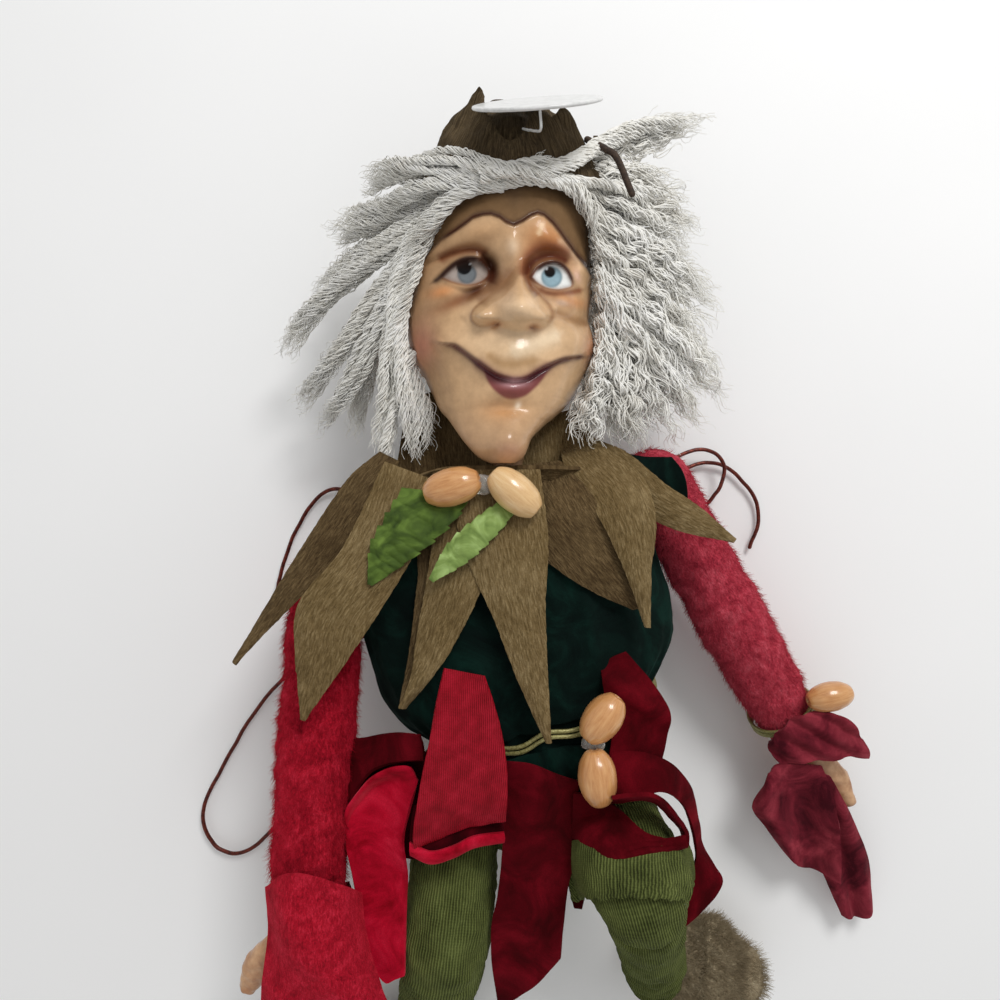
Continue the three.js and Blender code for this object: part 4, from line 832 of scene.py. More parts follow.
# Shoulder, elbow, wrist, felt and seed
SLEEVES = {
    "right": (JOINT["right_shoulder"], JOINT["right_elbow"], RIGHT_WRIST, ROSE_FELT, 41),
    "left": (JOINT["left_shoulder"], JOINT["left_elbow"], LEFT_WRIST, RED_FELT, 43),
}
SLEEVE_WIDTHS = {
    "right": [11.2, 10.9, 10.4, 10.9, 11.2, 10.8, 10.2, 8.8],
    "left": [11.2, 10.6, 10.6, 11.4, 11.4, 10.8, 10.4, 9.2],
}
for side, (shoulder, elbow, wrist, felt, seed) in SLEEVES.items():
    fore = unit(wrist - elbow)
    path = [shoulder, shoulder * 0.5 + elbow * 0.5, elbow, elbow * 0.5 + wrist * 0.5, wrist - fore * 4]
    widths = SLEEVE_WIDTHS[side]
    grid = dome_grid(path, widths, widths, 190, 110)
    lumps = ripple(grid, 17, seed) * 0.55 + ripple(grid, 5.5, seed + 1) * 0.22
    lumps = lumps + ripple(grid, 2.2, seed + 2) * 0.1
    crease = bell(np.linalg.norm(grid - elbow, axis=-1), 15)
    lumps = lumps - crease * (0.5 + 0.5 * np.sin(grid @ fore * 0.9 + 1.3)) * 0.9
    grid = push(grid, lumps - 0.3)
    hinge = bend(f"{side}_upper_arm", f"{side}_forearm", f"{side}_elbow", shoulder, wrist, 9)
    nodes = [f"sleeve_upper_{side}", f"sleeve_fore_{side}"]
    sleeve = stuffed(f"sleeve_{side}", grid, felt, hinge, nodes)
    normals = grid_normals(grid, True)
    nap(f"sleeve_nap_{side}", grid, normals, 1.5, 0.055, felt, hinge, "red_felt", seed + 5, 0.9)

# Wrist elastics, of three cords each

WRIST_BAND_RADIUS = {"right": 10.3, "left": 9.5}
for side, (_, elbow, wrist, _, _) in SLEEVES.items():
    fore = unit(wrist - elbow)
    centre = wrist - fore * 5.9
    turn = full_turn(90)
    across = unit(np.cross(fore, UP))
    over = np.cross(across, fore)
    circle = across * np.cos(turn)[:, None] + over * np.sin(turn)[:, None]
    rings = []
    for number, shift in enumerate((-1.2, 0.0, 1.1)):
        middle = centre + fore * shift + circle * WRIST_BAND_RADIUS[side]
        middle = middle + fore * (np.sin(turn * 2 + number) * 0.5)[:, None]
        rings.append(cord_ring(middle, unit(middle - centre), fore[None], 0.5, 0.5, 8))
    elastic(f"wrist_elastic_{side}", rings, f"{side}_forearm", f"wrist_band_{side}")

# Legs: one knit tube from hip to ankle on each side

# Half widths from hip to ankle, and seed
LEGS = {
    "left": ([13.4, 12.6, 12.5, 12.8, 12.6, 11.4, 10.8, 9.4], 51),
    "right": ([13.4, 12.8, 12.6, 13.6, 11.6, 10.2, 9.8, 9.2], 55),
}
LEG_ROWS = 90
KNEE_ROWS = 26
KNEE_CURVE = 9
KNEE_REACH = 10
leg_skins = {}
for side, (widths, seed) in LEGS.items():
    hip, knee, ankle = (JOINT[f"{side}_{joint}"] for joint in ("hip", "knee", "ankle"))
    thigh_way = unit(knee - hip)
    shin_way = unit(ankle - knee)
    above = knee - thigh_way * KNEE_CURVE
    below = knee + shin_way * KNEE_CURVE
    corner = []
    for share in np.linspace(0, 1, KNEE_ROWS)[1:-1]:
        corner.append(above * (1 - share) ** 2 + knee * 2 * share * (1 - share) + below * share ** 2)
    spine = np.vstack([smooth_path([hip, above], LEG_ROWS), corner, smooth_path([below, ankle], LEG_ROWS)])
    forward = unit(np.gradient(spine, axis=0))
    hinge_way = unit(np.cross(thigh_way, shin_way))
    over = unit(np.cross(forward, hinge_way))
    radius = values_at(widths, len(spine))
    turn = full_turn(120)
    grid = spine[:, None] + hinge_way[None, None] * (np.cos(turn)[None, :, None] * radius[:, None, None])
    grid = grid + over[:, None] * (np.sin(turn)[None, :, None] * radius[:, None, None])
    ends = []
    for ring, away in ((grid[0], -thigh_way), (grid[-1], shin_way)):
        ends.append(dome(ring, away, np.linalg.norm(ring[0] - ring.mean(axis=0))))
    grid = np.concatenate([ends[0][::-1], grid, ends[1]])
    bulge = bell(np.linalg.norm(grid - knee, axis=-1), 14)
    along = grid @ shin_way
    wrinkles = ripple(grid, 13, seed) * 0.45 + ripple(grid * np.array([0.6, 1.5, 1.0]), 6, seed + 1) * 0.3
    ankle_folds = smoothstep(34, 10, np.linalg.norm(grid - ankle, axis=-1)) * np.sin(along * 1.15) * 0.55
    # The groove under the fold that hangs over the right shin
    fold = bell((grid - knee) @ shin_way - 11, 2.6) * (side == "right")
    grid = push(grid, wrinkles + ankle_folds + bulge * 0.4 - fold * 1.9 - 0.3)
    leg_skins[side] = grid
    hinge = bend(f"{side}_thigh", f"{side}_shin", f"{side}_knee", hip, ankle, KNEE_REACH)
    nodes = [f"leg_thigh_{side}", f"leg_shin_{side}"]
    leg = stuffed(f"leg_knit_{side}", grid, KNIT, hinge, nodes)

# Shoes: fuzzy felt, with a fringed seam over the instep

# The way each toe points in degrees, and seed
SHOES = {"left": (-158, 61), "right": (-12, 63)}
SHOE_HEIGHT = 13
SHOE_WIDE = [10.6, 14.8, 16.0, 11.0]
SHOE_DEEP = [12.6, 13.4, 12.6, 9.2]
SEAM_FRINGE = 260
for side, (heading, seed) in SHOES.items():
    toe = np.array([math.cos(math.radians(heading)), math.sin(math.radians(heading)), 0])
    middle = JOINT[f"{side}_ankle"] + toe * 11.5
    back = middle - toe * 8.6
    front = middle + toe * 15.8
    back[2] = SHOE_HEIGHT
    front[2] = SHOE_HEIGHT
    grid = dome_grid([back, (back + front) / 2, front], SHOE_WIDE, SHOE_DEEP, 90, 130)
    grid = push(grid, ripple(grid, 12, seed) * 0.6 + ripple(grid, 4, seed + 1) * 0.25 - 0.3)
    seam = np.exp(-((grid - middle - toe * 1.5) @ toe) ** 2 / 1.2)
    grid = push(grid, -0.9 * seam)
    grid[..., 2] = np.maximum(grid[..., 2], 0)
    foot = f"{side}_foot"
    shoe = stuffed(f"shoe_felt_{side}", grid, SHOE_FELT, foot, [f"shoe_{side}"])
    normals = grid_normals(grid, True)
    nap(f"shoe_nap_{side}", grid, normals, 2.3, 0.07, SHOE_FELT, foot, "shoe_felt", seed + 3, 0.7, along=toe)
    rim = np.abs((grid - middle - toe * 1.5) @ toe) < 0.8
    rim &= grid[..., 2] > 12
    spots = grid[rim]
    out = normals[rim]
    chance = np.random.default_rng(seed + 9)
    pick = chance.integers(0, len(spots), SEAM_FRINGE)
    way = out[pick] + toe * chance.normal(0, 0.5, (SEAM_FRINGE, 1))
    way = unit(way + chance.normal(0, 0.25, (SEAM_FRINGE, 3)))
    reach = chance.uniform(2.0, 4.6, (SEAM_FRINGE, 1, 1))
    share = np.array([0.0, 0.4, 1.0])[None, :, None]
    paths = spots[pick][:, None] + way[:, None] * share * reach
    name = f"shoe_fringe_{side}"
    fringe = fibre_mesh(name, paths, np.repeat([[0.11, 0.09, 0.03]], SEAM_FRINGE, axis=0))
    piece(name, fringe, SHOE_FELT, foot)

# Felt collar: pointed petals, each given by its two edges as pixels and heights, its crown and its felt;
# petals that lie in shadow take the felt with painted shade

PETAL_THICK = 1.1
PETALS = {
    "collar_petal_1": (
        [(380, 452, 43), (346, 482, 46), (300, 552, 49), (262, 615, 51), (234, 662, 53)],
        [(400, 462, 44), (372, 512, 47.5), (334, 562, 50), (292, 606, 52), (235, 664, 53)],
        0.8, SHADED_COLLAR_FELT),
    "collar_petal_2": (
        [(385, 462, 50), (345, 545, 56.5), (300, 602, 59), (296, 650, 59.4), (302, 719, 59)],
        [(432, 480, 52), (420, 540, 58), (392, 592, 59.5), (350, 656, 59.8), (304, 720, 59)],
        1.0, COLLAR_FELT),
    "collar_petal_3": (
        [(408, 500, 51), (418, 560, 52.5), (416, 600, 53.5), (410, 650, 54.5), (401, 702, 56)],
        [(440, 510, 52), (452, 560, 53), (445, 610, 54), (432, 655, 55), (404, 706, 56.5)],
        0.6, SHADED_COLLAR_FELT),
    "collar_petal_4": (
        [(452, 470, 53), (462, 545, 57.5), (494, 618, 58.8), (520, 684, 58.8), (547, 742, 58)],
        [(540, 470, 53), (548, 540, 57.5), (545, 600, 58.8), (547, 670, 58.8), (550, 743, 58)],
        1.0, COLLAR_FELT),
    "collar_petal_5": (
        [(500, 468, 44), (522, 535, 53.5), (560, 571, 55.0), (596, 593, 55.2), (633, 608, 54)],
        [(560, 462, 43), (588, 490, 53.5), (610, 525, 55.0), (630, 570, 55.2), (637, 609, 54)],
        0.8, SHADED_COLLAR_FELT),
    "collar_petal_6": (
        [(561, 448, 33), (566, 470, 45.5), (598, 515, 56.0), (626, 572, 58.2), (646, 626, 57)],
        [(588, 438, 37), (640, 475, 53.0), (655, 520, 57.4), (650, 572, 58.4), (649, 628, 57)],
        1.2, COLLAR_FELT),
    "collar_petal_7": (
        [(562, 442, 30), (600, 470, 42.5), (640, 510, 48.6), (678, 530, 49.6), (733, 541, 48)],
        [(588, 438, 30), (626, 453, 43.0), (664, 484, 48.8), (700, 508, 49.6), (735, 540, 48)],
        1.0, COLLAR_FELT),
}
# The curled petal shows at the left of the fourth; its tip turns under
CURLED_PETAL = (
    [(440, 500, 54), (428, 575, 56.4), (418, 634, 57.6), (412, 676, 58.4), (400, 706, 56.5)],
    [(500, 500, 55), (484, 580, 57.4), (458, 636, 58.2), (438, 668, 59.0), (404, 709, 57)],
)


def collar(name, grid, thick, felt, nodes=(), body="torso"):
    cloth(name, grid, thick, felt, body, nodes)


def petal_grid(left, right, crown, seed, rows=70, columns=34):
    """A collar petal, crowned across, with a slightly frayed edge."""
    grid = between(from_pixels(left), from_pixels(right), rows, columns)
    share = side_line(columns, -1, 1)
    along = down_line(rows)
    height = crown * (1 - share ** 2) * np.sin(along * math.pi * 0.8 + 0.3)
    grid[..., 2] += height + 0.28 * ripple(grid, 14, seed) + 0.08 * ripple(grid, 4, seed + 1)
    grid[..., 0] += 0.16 * ripple(grid, 2.2, seed + 2) * np.abs(share) ** 6
    return grid


for number, (node, (left, right, crown, felt)) in enumerate(PETALS.items()):
    collar(f"felt_{node}", petal_grid(left, right, crown, 70 + number * 3), PETAL_THICK, felt, nodes=[node])
grid = petal_grid(*CURLED_PETAL, 1.2, 97)
grid[..., 2] += side_line(grid.shape[1], -1, 1) * smoothstep(0.82, 1.0, down_line(len(grid))) * -1.4
collar("felt_collar_petal_curled", grid, PETAL_THICK, COLLAR_FELT)

# Gathered collar edge round the neck, under the chin, in felt with painted shade
ruff_path = [(-33, 38, 40), (-24, 42.5, 46), (-12, 44.5, 49.5), (-2, 45.3, 50.4), (8, 45, 49),
             (17, 43.6, 42.5), (26, 41.5, 36)]
ruff = ribbon_grid(ruff_path, 11, 240, 12, tilt=[0.0, -0.5, 0.8])
ruff[..., 2] += 0.9 * np.sin(down_line(240) * 95) * side_line(12, 0.3, 1)
ruff[..., 1] = np.minimum(ruff[..., 1] - 1.2, 46.8)
collar("felt_collar_band", ruff, 1.0, SHADED_COLLAR_FELT, ["collar_band"])


def patch(top, bottom, left, right, rows, columns):
    """A grid inside four edges that meet at their corners, each given as pixels and a height."""
    top = smooth_path(from_pixels(top), columns)
    bottom = smooth_path(from_pixels(bottom), columns)
    left = smooth_path(from_pixels(left), rows)
    right = smooth_path(from_pixels(right), rows)
    u = np.linspace(0, 1, columns)[None, :, None]
    v = np.linspace(0, 1, rows)[:, None, None]
    corners = top[0] * (1 - u) * (1 - v) + top[-1] * u * (1 - v)
    corners = corners + bottom[0] * (1 - u) * v + bottom[-1] * u * v
    return left[:, None] * (1 - u) + right[:, None] * u + top[None] * (1 - v) + bottom[None] * v - corners


# How near in the picture a point of the skin counts, and over how many rows and columns the lift is evened
NEAR_PIXELS = 4
LIFT_SMOOTHING = ((0, 9), (1, 5))


def lift_over(grid, under, clear):
    """Bring a cloth grid nearer along the line of sight until it lies over another skin."""
    px, py = seen(grid)
    under_x, under_y = (values.ravel() for values in seen(under))
    heights = under[..., 2].ravel()
    wanted = grid[..., 2].copy()
    for i in range(grid.shape[0]):
        for j in range(grid.shape[1]):
            near = np.abs(under_x - px[i, j]) < NEAR_PIXELS
            near &= np.abs(under_y - py[i, j]) < NEAR_PIXELS
            if near.any():
                wanted[i, j] = max(wanted[i, j], heights[near].max() + clear)
    lift = wanted - grid[..., 2]
    for axis, reach in LIFT_SMOOTHING:
        borders = [(0, 0), (0, 0)]
        borders[axis] = (reach // 2, reach // 2)
        padded = np.pad(lift, borders, mode="edge")
        lift = np.apply_along_axis(np.convolve, axis, padded, np.ones(reach) / reach, "valid")
    scale = (CAMERA_HEIGHT - grid[..., 2] - lift) / FOCAL_PIXELS
    x = (px - IMAGE_MIDDLE) * scale + CAMERA_X
    y = (IMAGE_MIDDLE - py) * scale + CAMERA_Y
    return np.stack([x, y, grid[..., 2] + lift], axis=-1)


def shown_between(left, right, rows, columns, crown=0.0, seed=1, size=12, rough=0.25):
    """A strip of cloth between two edges given as pixels and heights."""
    grid = between(from_pixels(left), from_pixels(right), rows, columns)
    grid = push(grid, crown * (1 - side_line(columns, -1, 1) ** 2), wrap=False)
    return push(grid, rough * ripple(grid, size, seed), wrap=False)


# The collar's standing edge, seen on both sides of the jaw; the left one in felt with painted shade

collar_rise_left = shown_between(
    [(404, 398, 33), (402, 432, 35), (396, 470, 38), (392, 500, 40)],
    [(446, 388, 33), (470, 420, 35), (488, 452, 38), (500, 490, 40)],
    60, 40, crown=1.0, seed=64, size=9)
# The two places of the neck, in metres, given with both rises; the rises are left in place
neck_bend = ("torso", "head", (-0.004, 0.043, 0.036), (-0.004, 0.058, 0.036))
collar("felt_collar_rise_left", collar_rise_left, 1.0, SHADED_COLLAR_FELT, body=neck_bend)
collar_rise_right = shown_between(
    [(534, 410, 33), (524, 440, 35.5), (516, 470, 38), (512, 490, 40)],
    [(572, 410, 33), (590, 430, 36), (600, 452, 38), (606, 480, 40)],
    60, 40, crown=1.6, seed=67, size=8)
collar("felt_collar_rise_right", collar_rise_right, 1.0, COLLAR_FELT, body=neck_bend)

# The tunic's right armhole edge, which covers the head of the sleeve
armhole = shown_between(
    [(628, 454, 42.0), (630, 470, 43.4), (634, 488, 44.0), (640, 508, 43.4)],
    [(672, 457, 41.8), (682, 470, 43.0), (687, 486, 43.2), (688, 504, 42.6)],
    50, 40, crown=1.4, seed=68, size=10)
cloth("tunic_velvet_armhole", armhole, 1.0, GREEN_VELVET, "torso")

# Leaves: stiffened cloth with a raised middle rib and a sawn edge

def leaf_grid(left, right, teeth, depth, crown, seed, rows=90, columns=28):
    grid = between(from_pixels(left), from_pixels(right), rows, columns)
    share = side_line(columns, -1, 1)
    along = down_line(rows)
    middle = grid[:, columns // 2][:, None]
    tooth = 1 - depth * ((along * teeth) % 1) * np.abs(share) ** 3 * np.sin(math.pi * along) ** 0.5
    grid = middle + (grid - middle) * tooth[..., None]
    grid[..., 2] += crown * (1 - np.abs(share)) ** 0.7 * np.sin(math.pi * np.clip(along, 0.05, 0.95))
    grid[..., 2] += 0.5 * ripple(grid, 8, seed) + 0.3 * np.abs(ripple(grid, 4, seed + 1))
    return grid


broad = leaf_grid([(402, 488, 56), (384, 515, 58.5), (369, 545, 60.4), (368, 584, 61)],
                  [(470, 496, 57), (462, 514, 59), (432, 545, 60.8), (372, 586, 61)], 7, 0.16, 1.0, 21)
cloth("leaf_cloth_broad", broad, 0.6, LEAF_BROAD, "torso",
      ["leaf_broad"])
narrow = leaf_grid([(512, 492, 57), (472, 520, 59.4), (446, 545, 60.8), (429, 579, 61.4)],
                   [(522, 503, 57.4), (498, 534, 60), (470, 561, 61.4), (433, 582, 61.6)], 9, 0.2, 0.9, 24)
cloth("leaf_cloth_narrow", narrow, 0.6, LEAF_NARROW, "torso",
      ["leaf_narrow"])

# Wooden beads: olive shaped, bored from end to end

BEAD_SIDES = 64
# Shares of the length and of the radius, round the wall and back through the bore
BEAD_PROFILE = [(0.5, 0.34), (0.485, 0.47), (0.42, 0.64), (0.29, 0.86), (0.12, 0.98), (0, 1.0),
                (-0.12, 0.98), (-0.29, 0.86), (-0.42, 0.64), (-0.485, 0.47), (-0.5, 0.34), (-0.46, 0.22),
                (0, 0.22), (0.46, 0.22)]


def bead(name, centre, axis, length, material, node, seed, radius=5, body="torso"):
    """A bored wooden bead with its bore along the axis."""
    axis = unit(np.asarray(axis, float))
    side = unit(np.cross(axis, UP))
    over = np.cross(side, axis)
    profile = smooth_path(BEAD_PROFILE + BEAD_PROFILE[:1], 90)[:-1]
    turn = full_turn(BEAD_SIDES)
    out = side[None] * np.cos(turn)[:, None] + over[None] * np.sin(turn)[:, None]
    grid = np.asarray(centre, float) + profile[:, None, :1] * length * axis
    grid = grid + profile[:, None, 1:] * radius * out[None]
    grid = push(grid, 0.05 * ripple(grid, 6, seed))
    index = np.arange(len(profile) * BEAD_SIDES).reshape(-1, BEAD_SIDES)
    following = np.roll(index, -1, axis=0)
    quads = np.stack([index, np.roll(index, -1, axis=1), np.roll(following, -1, axis=1), following], axis=-1)
    uv = np.zeros((len(profile), BEAD_SIDES, 2))
    uv[..., 0] = np.abs(side_line(BEAD_SIDES, -1, 1)) * radius * math.pi / 10
    uv[..., 1] = profile[:, None, 0] * length / 10
    mesh = make_mesh(name, grid, [quads.reshape(-1, 4)], uv=uv)
    return piece(name, mesh, material, body, [node])


bead("bead_neck_left", (-18.5, 41.4, 59.9), (-0.92, -0.25, -0.15), 15, BEAD_WOOD, "neck_bead_left", 1)
bead("bead_neck_right", (-2.2, 40.0, 60.1), (0.76, -0.65, 0), 15.4, PALE_WOOD, "neck_bead_right", 2)
bead("bead_waist_upper", (20.6, -18.7, 60.1), (0.6, 0.8, 0), 13.6, BEAD_WOOD, "waist_bead_upper", 3)
bead("bead_waist_lower", (19.1, -33.6, 61.5), (0.12, -1, 0.05), 14, BEAD_WOOD, "waist_bead_lower", 4)
bead("bead_wrist", RIGHT_WRIST + [7.5, 12.3, 13], (0.97, 0.22, 0), 13.6, BEAD_WOOD, "wrist_bead_right", 5,
     radius=4.4, body="right_forearm")


def glue(name, centre, half, seed, node):
    """A small rounded lump of clear glue."""
    tilt = np.linspace(0.03, math.pi - 0.03, 30)
    turn = full_turn(40)
    grid = ball_grid(tilt, turn)[..., [0, 2, 1]][:, ::-1]
    grid = np.asarray(centre, float) + grid * np.asarray(half, float)
    grid = push(grid, 0.35 * ripple(grid, 4, seed))
    piece(name, closed_mesh(name, grid), GLUE, "torso", [node])


glue("glue_neck", (-10.6, 42, 58.1), (3.6, 2.6, 2.2), 6, "neck_glue")
glue("glue_waist", (18.4, -25.6, 58.4), (3.2, 2.2, 2.1), 7, "waist_glue")

# The tunic's gathered hem below the belt

hem = patch(
    [(486, 768, 52.4), (520, 757, 53.2), (556, 748, 53.6), (592, 744, 53.2), (624, 738, 50.5)],
    [(486, 776, 50.0), (515, 782, 51.6), (548, 792, 52.0), (580, 800, 51.4), (622, 800, 49.0)],
    [(486, 768, 52.4), (486, 772, 51.4), (486, 776, 50.0)],
    [(624, 738, 50.5), (626, 766, 50.6), (622, 800, 49.0)],
    50, 110)
hem[..., 2] += 0.8 * np.sin(side_line(110, 0, 40)) * down_line(50, 0.4, 1)
cloth("tunic_velvet_hem", hem, 1.0, GREEN_VELVET, "torso")

# Skirt ribbons

def ribbon(name, grid, velvet, nodes=(), body="torso", thick=1.0):
    """A piece of the velvet ribbon."""
    cloth(name, grid, thick, velvet, body, nodes)


loop_left = shown_between(
    [(444, 668, 58.6), (437, 700, 60.4), (430, 738, 61.3), (422, 776, 61.9), (416, 812, 62.2),
     (413, 836, 60.8), (414, 846, 58.6), (418, 842, 56.4), (424, 820, 54.8), (428, 792, 54.0)],
    [(484, 676, 59.0), (496, 710, 60.8), (503, 741, 61.5), (507, 772, 62.4), (507, 800, 62.0),
     (506, 813, 60.2), (505, 818, 58.2), (502, 812, 56.2), (497, 800, 54.8), (490, 780, 54.0)],
    170, 60, crown=0.9, seed=31, size=16, rough=0.35)
ridge = (loop_left[..., 0] + 22.5) * 0.64 - (loop_left[..., 1] + 49) * 0.77
loop_left[..., 2] += 1.5 * bell(ridge - 7.5, 4.0) * smoothstep(0, 0.3, down_line(170))
ribbon("ribbon_front_left_loop", loop_left, RIBBED_RED, nodes=["ribbon_loop_left"])

# The loop's lower layer, whose edge shows below the turned end; its velvet has painted shade where the
# turned end shades it
loop_lower = patch(
    [(414, 806, 55.6), (440, 800, 56.2), (470, 794, 56.4), (502, 790, 56.4)],
    [(411, 853, 58.4), (430, 861, 59.2), (452, 855, 59.0), (474, 845, 58.8), (504, 840, 58.4)],
    [(414, 806, 55.6), (411, 825, 55.8), (410, 841, 57.0), (411, 853, 58.4)],
    [(502, 790, 56.4), (503, 806, 56.0), (504, 826, 57.0), (504, 840, 58.4)],
    70, 60)
ribbon("ribbon_front_left_lower", loop_lower, SHADED_VELVET)
# The lower layer's lit rim, in velvet painted lighter as a painted highlight
loop_rim = patch(
    [(410, 842, 58.2), (430, 851, 59.6), (452, 846, 59.6), (474, 836, 59.4), (504, 832, 58.8)],
    [(414, 818, 52.4), (432, 827, 53.4), (452, 822, 53.6), (474, 813, 53.6), (500, 808, 53.2)],
    [(410, 842, 58.2), (410, 849, 58.4), (411, 854, 57.0), (412, 848, 54.4), (414, 818, 52.4)],
    [(504, 832, 58.8), (505, 837, 58.6), (504, 841, 57.2), (503, 836, 55.0), (500, 808, 53.2)],
    44, 60)
ribbon("ribbon_front_left_rim", loop_rim, BRIGHT_VELVET)
# The inside of the left loop, a sheet of velvet in painted shade
loop_behind = patch(
    [(352, 762, 41.0), (380, 756, 43.0), (410, 752, 46.0), (440, 752, 49.0)],
    [(356, 846, 41.0), (380, 852, 43.0), (410, 858, 46.0), (440, 862, 49.0)],
    [(352, 762, 41.0), (350, 800, 40.0), (356, 846, 41.0)],
    [(440, 752, 49.0), (440, 800, 49.0), (440, 862, 49.0)],
    60, 60)
ribbon("ribbon_left_inside", loop_behind, SHADED_VELVET)

tail_left = patch(
    [(345, 822, 47.0), (348, 806, 49.5), (357, 793, 51.5), (372, 777, 52.6), (392, 768, 53.0),
     (410, 768, 53.2), (418, 781, 52.6)],
    [(356, 951, 49.0), (370, 967, 49.6), (385, 983, 50.2), (396, 979, 50.6), (405, 975, 50.8)],
    [(345, 822, 47.0), (346, 846, 47.6), (352, 876, 48.2), (357, 906, 48.6), (356, 951, 49.0)],
    [(418, 781, 52.6), (409, 812, 51.4), (403, 842, 50.8), (407, 875, 50.8), (406, 906, 50.8),
     (405, 975, 50.8)],
    130, 56)
down = down_line(130)
tail_left[..., 2] -= 5.6 * np.sin(math.pi * side_line(56)) * smoothstep(0.0, 0.1, down) * (1 - down) ** 0.7
tail_left[..., 2] += 0.3 * ripple(tail_left, 15, 35)
ribbon("ribbon_left_tail", tail_left, BRIGHT_VELVET, nodes=["ribbon_tail_left"])

# The dark outer face of the left loop, behind its rim
left_back = shown_between(
    [(420, 735, 52.0), (396, 733, 49.0), (368, 737, 45.0), (344, 744, 42.0), (340, 775, 42.0),
     (343, 822, 44.6)],
    [(424, 760, 53.2), (402, 762, 51.6), (382, 766, 50.2), (366, 776, 49.6), (354, 795, 48.6),
     (347, 820, 46.6)],
    90, 22, crown=0.8, seed=37, size=14, rough=0.3)
ribbon("ribbon_left_back", left_back, RED_VELVET)

tail_centre = patch(
    [(504, 762, 56.2), (530, 764, 56.8), (552, 772, 56.8), (578, 782, 56.4)],
    [(498, 1002, 47.6), (510, 1001, 47.6), (536, 982, 48.4), (560, 958, 49.4)],
    [(504, 762, 56.2), (505, 800, 53.6), (503, 850, 51.4), (498, 896, 50.4), (492, 925, 49.6),
     (492, 960, 48.6), (498, 1002, 47.6)],
    [(578, 782, 56.4), (578, 819, 53.6), (575, 857, 51.8), (568, 885, 51.0), (563, 925, 50.2),
     (560, 958, 49.4)],
    170, 60)
tail_centre[..., 2] += 1.1 * np.sin(math.pi * side_line(60)) ** 0.7 - 0.6
tail_centre[..., 2] += 0.35 * ripple(tail_centre, 18, 39)
ribbon("ribbon_centre_tail", tail_centre, RED_VELVET, nodes=["ribbon_tail_centre"])

loop_right = patch(
    [(600, 668, 52.0), (612, 658, 52.0), (626, 652, 51.6)],
    [(606, 772, 55.8), (634, 772, 56.8), (662, 764, 56.6)],
    [(600, 668, 52.0), (606, 700, 54.2), (612, 735, 55.6), (606, 772, 55.8)],
    [(626, 652, 51.6), (647, 676, 52.6), (664, 700, 53.4), (670, 717, 53.6), (667, 738, 54.8),
     (662, 764, 56.6)],
    110, 50)
loop_right[..., 2] += 1.3 * bell(loop_right[..., 1] + 0.62 * loop_right[..., 0] - 3.4, 3.0) - 0.7
loop_right[..., 2] += 0.3 * ripple(loop_right, 14, 43)
ribbon("ribbon_right_loop", loop_right, RED_VELVET, nodes=["ribbon_loop_right"])

# The inner right loop: a band that comes from under the lower bead and rises to its turned edge
inner_band = shown_between(
    [(574, 792, 56.4), (600, 797, 58.6), (622, 811, 60.4), (643, 831, 62.4), (664, 838, 64.0),
     (686, 835, 65.2)],
    [(574, 838, 51.2), (592, 846, 53.4), (609, 857, 55.6), (625, 858, 57.8), (650, 852, 61.4),
     (688, 845, 64.6)],
    100, 46, crown=0.9, seed=45, size=12, rough=0.3)
inner_band = lift_over(inner_band, leg_skins["right"], 0.9)
ribbon("ribbon_inner_band", inner_band, RED_VELVET, nodes=["ribbon_loop_inner"])
inner_return = shown_between(
    [(688, 846, 64.4), (686, 832, 66.0), (678, 818, 68.0), (668, 806, 69.6), (656, 797, 70.6),
     (640, 794, 70.4), (612, 797, 66.8)],
    [(684, 838, 58.0), (680, 828, 58.2), (671, 818, 58.6), (661, 807, 59.2), (652, 801, 59.6),
     (636, 799, 59.4), (610, 802, 58.2)],
    100, 20, crown=0.2, seed=47, size=10, rough=0.15)
ribbon("ribbon_inner_return", inner_return, RED_VELVET)

strip_right = shown_between(
    [(612, 752, 55.0), (640, 752, 56.4), (664, 760, 56.4), (680, 773, 54.6), (691, 792, 51.6),
     (697, 818, 48.8), (702, 845, 47.6), (714, 866, 48.6), (722, 880, 50.0), (716, 894, 51.4),
     (700, 912, 53.0), (670, 938, 54.6)],
    [(604, 803, 60.0), (622, 803, 60.4), (642, 798, 61.2), (660, 792, 60.6), (674, 797, 58.0),
     (686, 811, 55.0), (693, 836, 52.6), (696, 858, 51.4), (690, 874, 51.0), (683, 888, 51.4),
     (676, 908, 52.8), (669, 936, 54.4)],
    190, 30, crown=0.5, seed=49, size=15, rough=0.25)
ribbon("ribbon_right_strip", strip_right, RED_VELVET, nodes=["ribbon_strip_right"])

small_end = shown_between([(566, 868, 42.0), (569, 888, 40.0), (574, 908, 40.6)],
                          [(592, 868, 42.0), (587, 888, 40.0), (582, 909, 40.6)], 24, 16, seed=50)
ribbon("ribbon_small_end", small_end, RED_VELVET, thick=0.9)

# The knit bunches at the right knee and hangs over the shin
knee_fold = shown_between(
    [(574, 840, 49.0), (569, 858, 49.6), (568, 878, 48.6), (571, 897, 46.0)],
    [(690, 846, 56.0), (692, 862, 55.6), (692, 880, 53.6), (687, 896, 50.0)],
    60, 110, crown=1.0, seed=81, size=9)
knee_fold = lift_over(knee_fold, leg_skins["right"], 0.5)
hang = down_line(60)
knee_fold[..., 2] += 1.7 * smoothstep(0.1, 0.9, hang) + 0.35 * ripple(knee_fold, 5, 82) * hang
knee_fold[..., 1] += 0.5 * ripple(knee_fold, 4, 83) * hang ** 4
knee_hinge = bend("right_thigh", "right_shin", "right_knee", JOINT["right_hip"], JOINT["right_ankle"],
                  KNEE_REACH)
cloth("leg_knit_fold_right", knee_fold, 1.1, KNIT, knee_hinge)

# Cuff ribbons, tied at the wrists

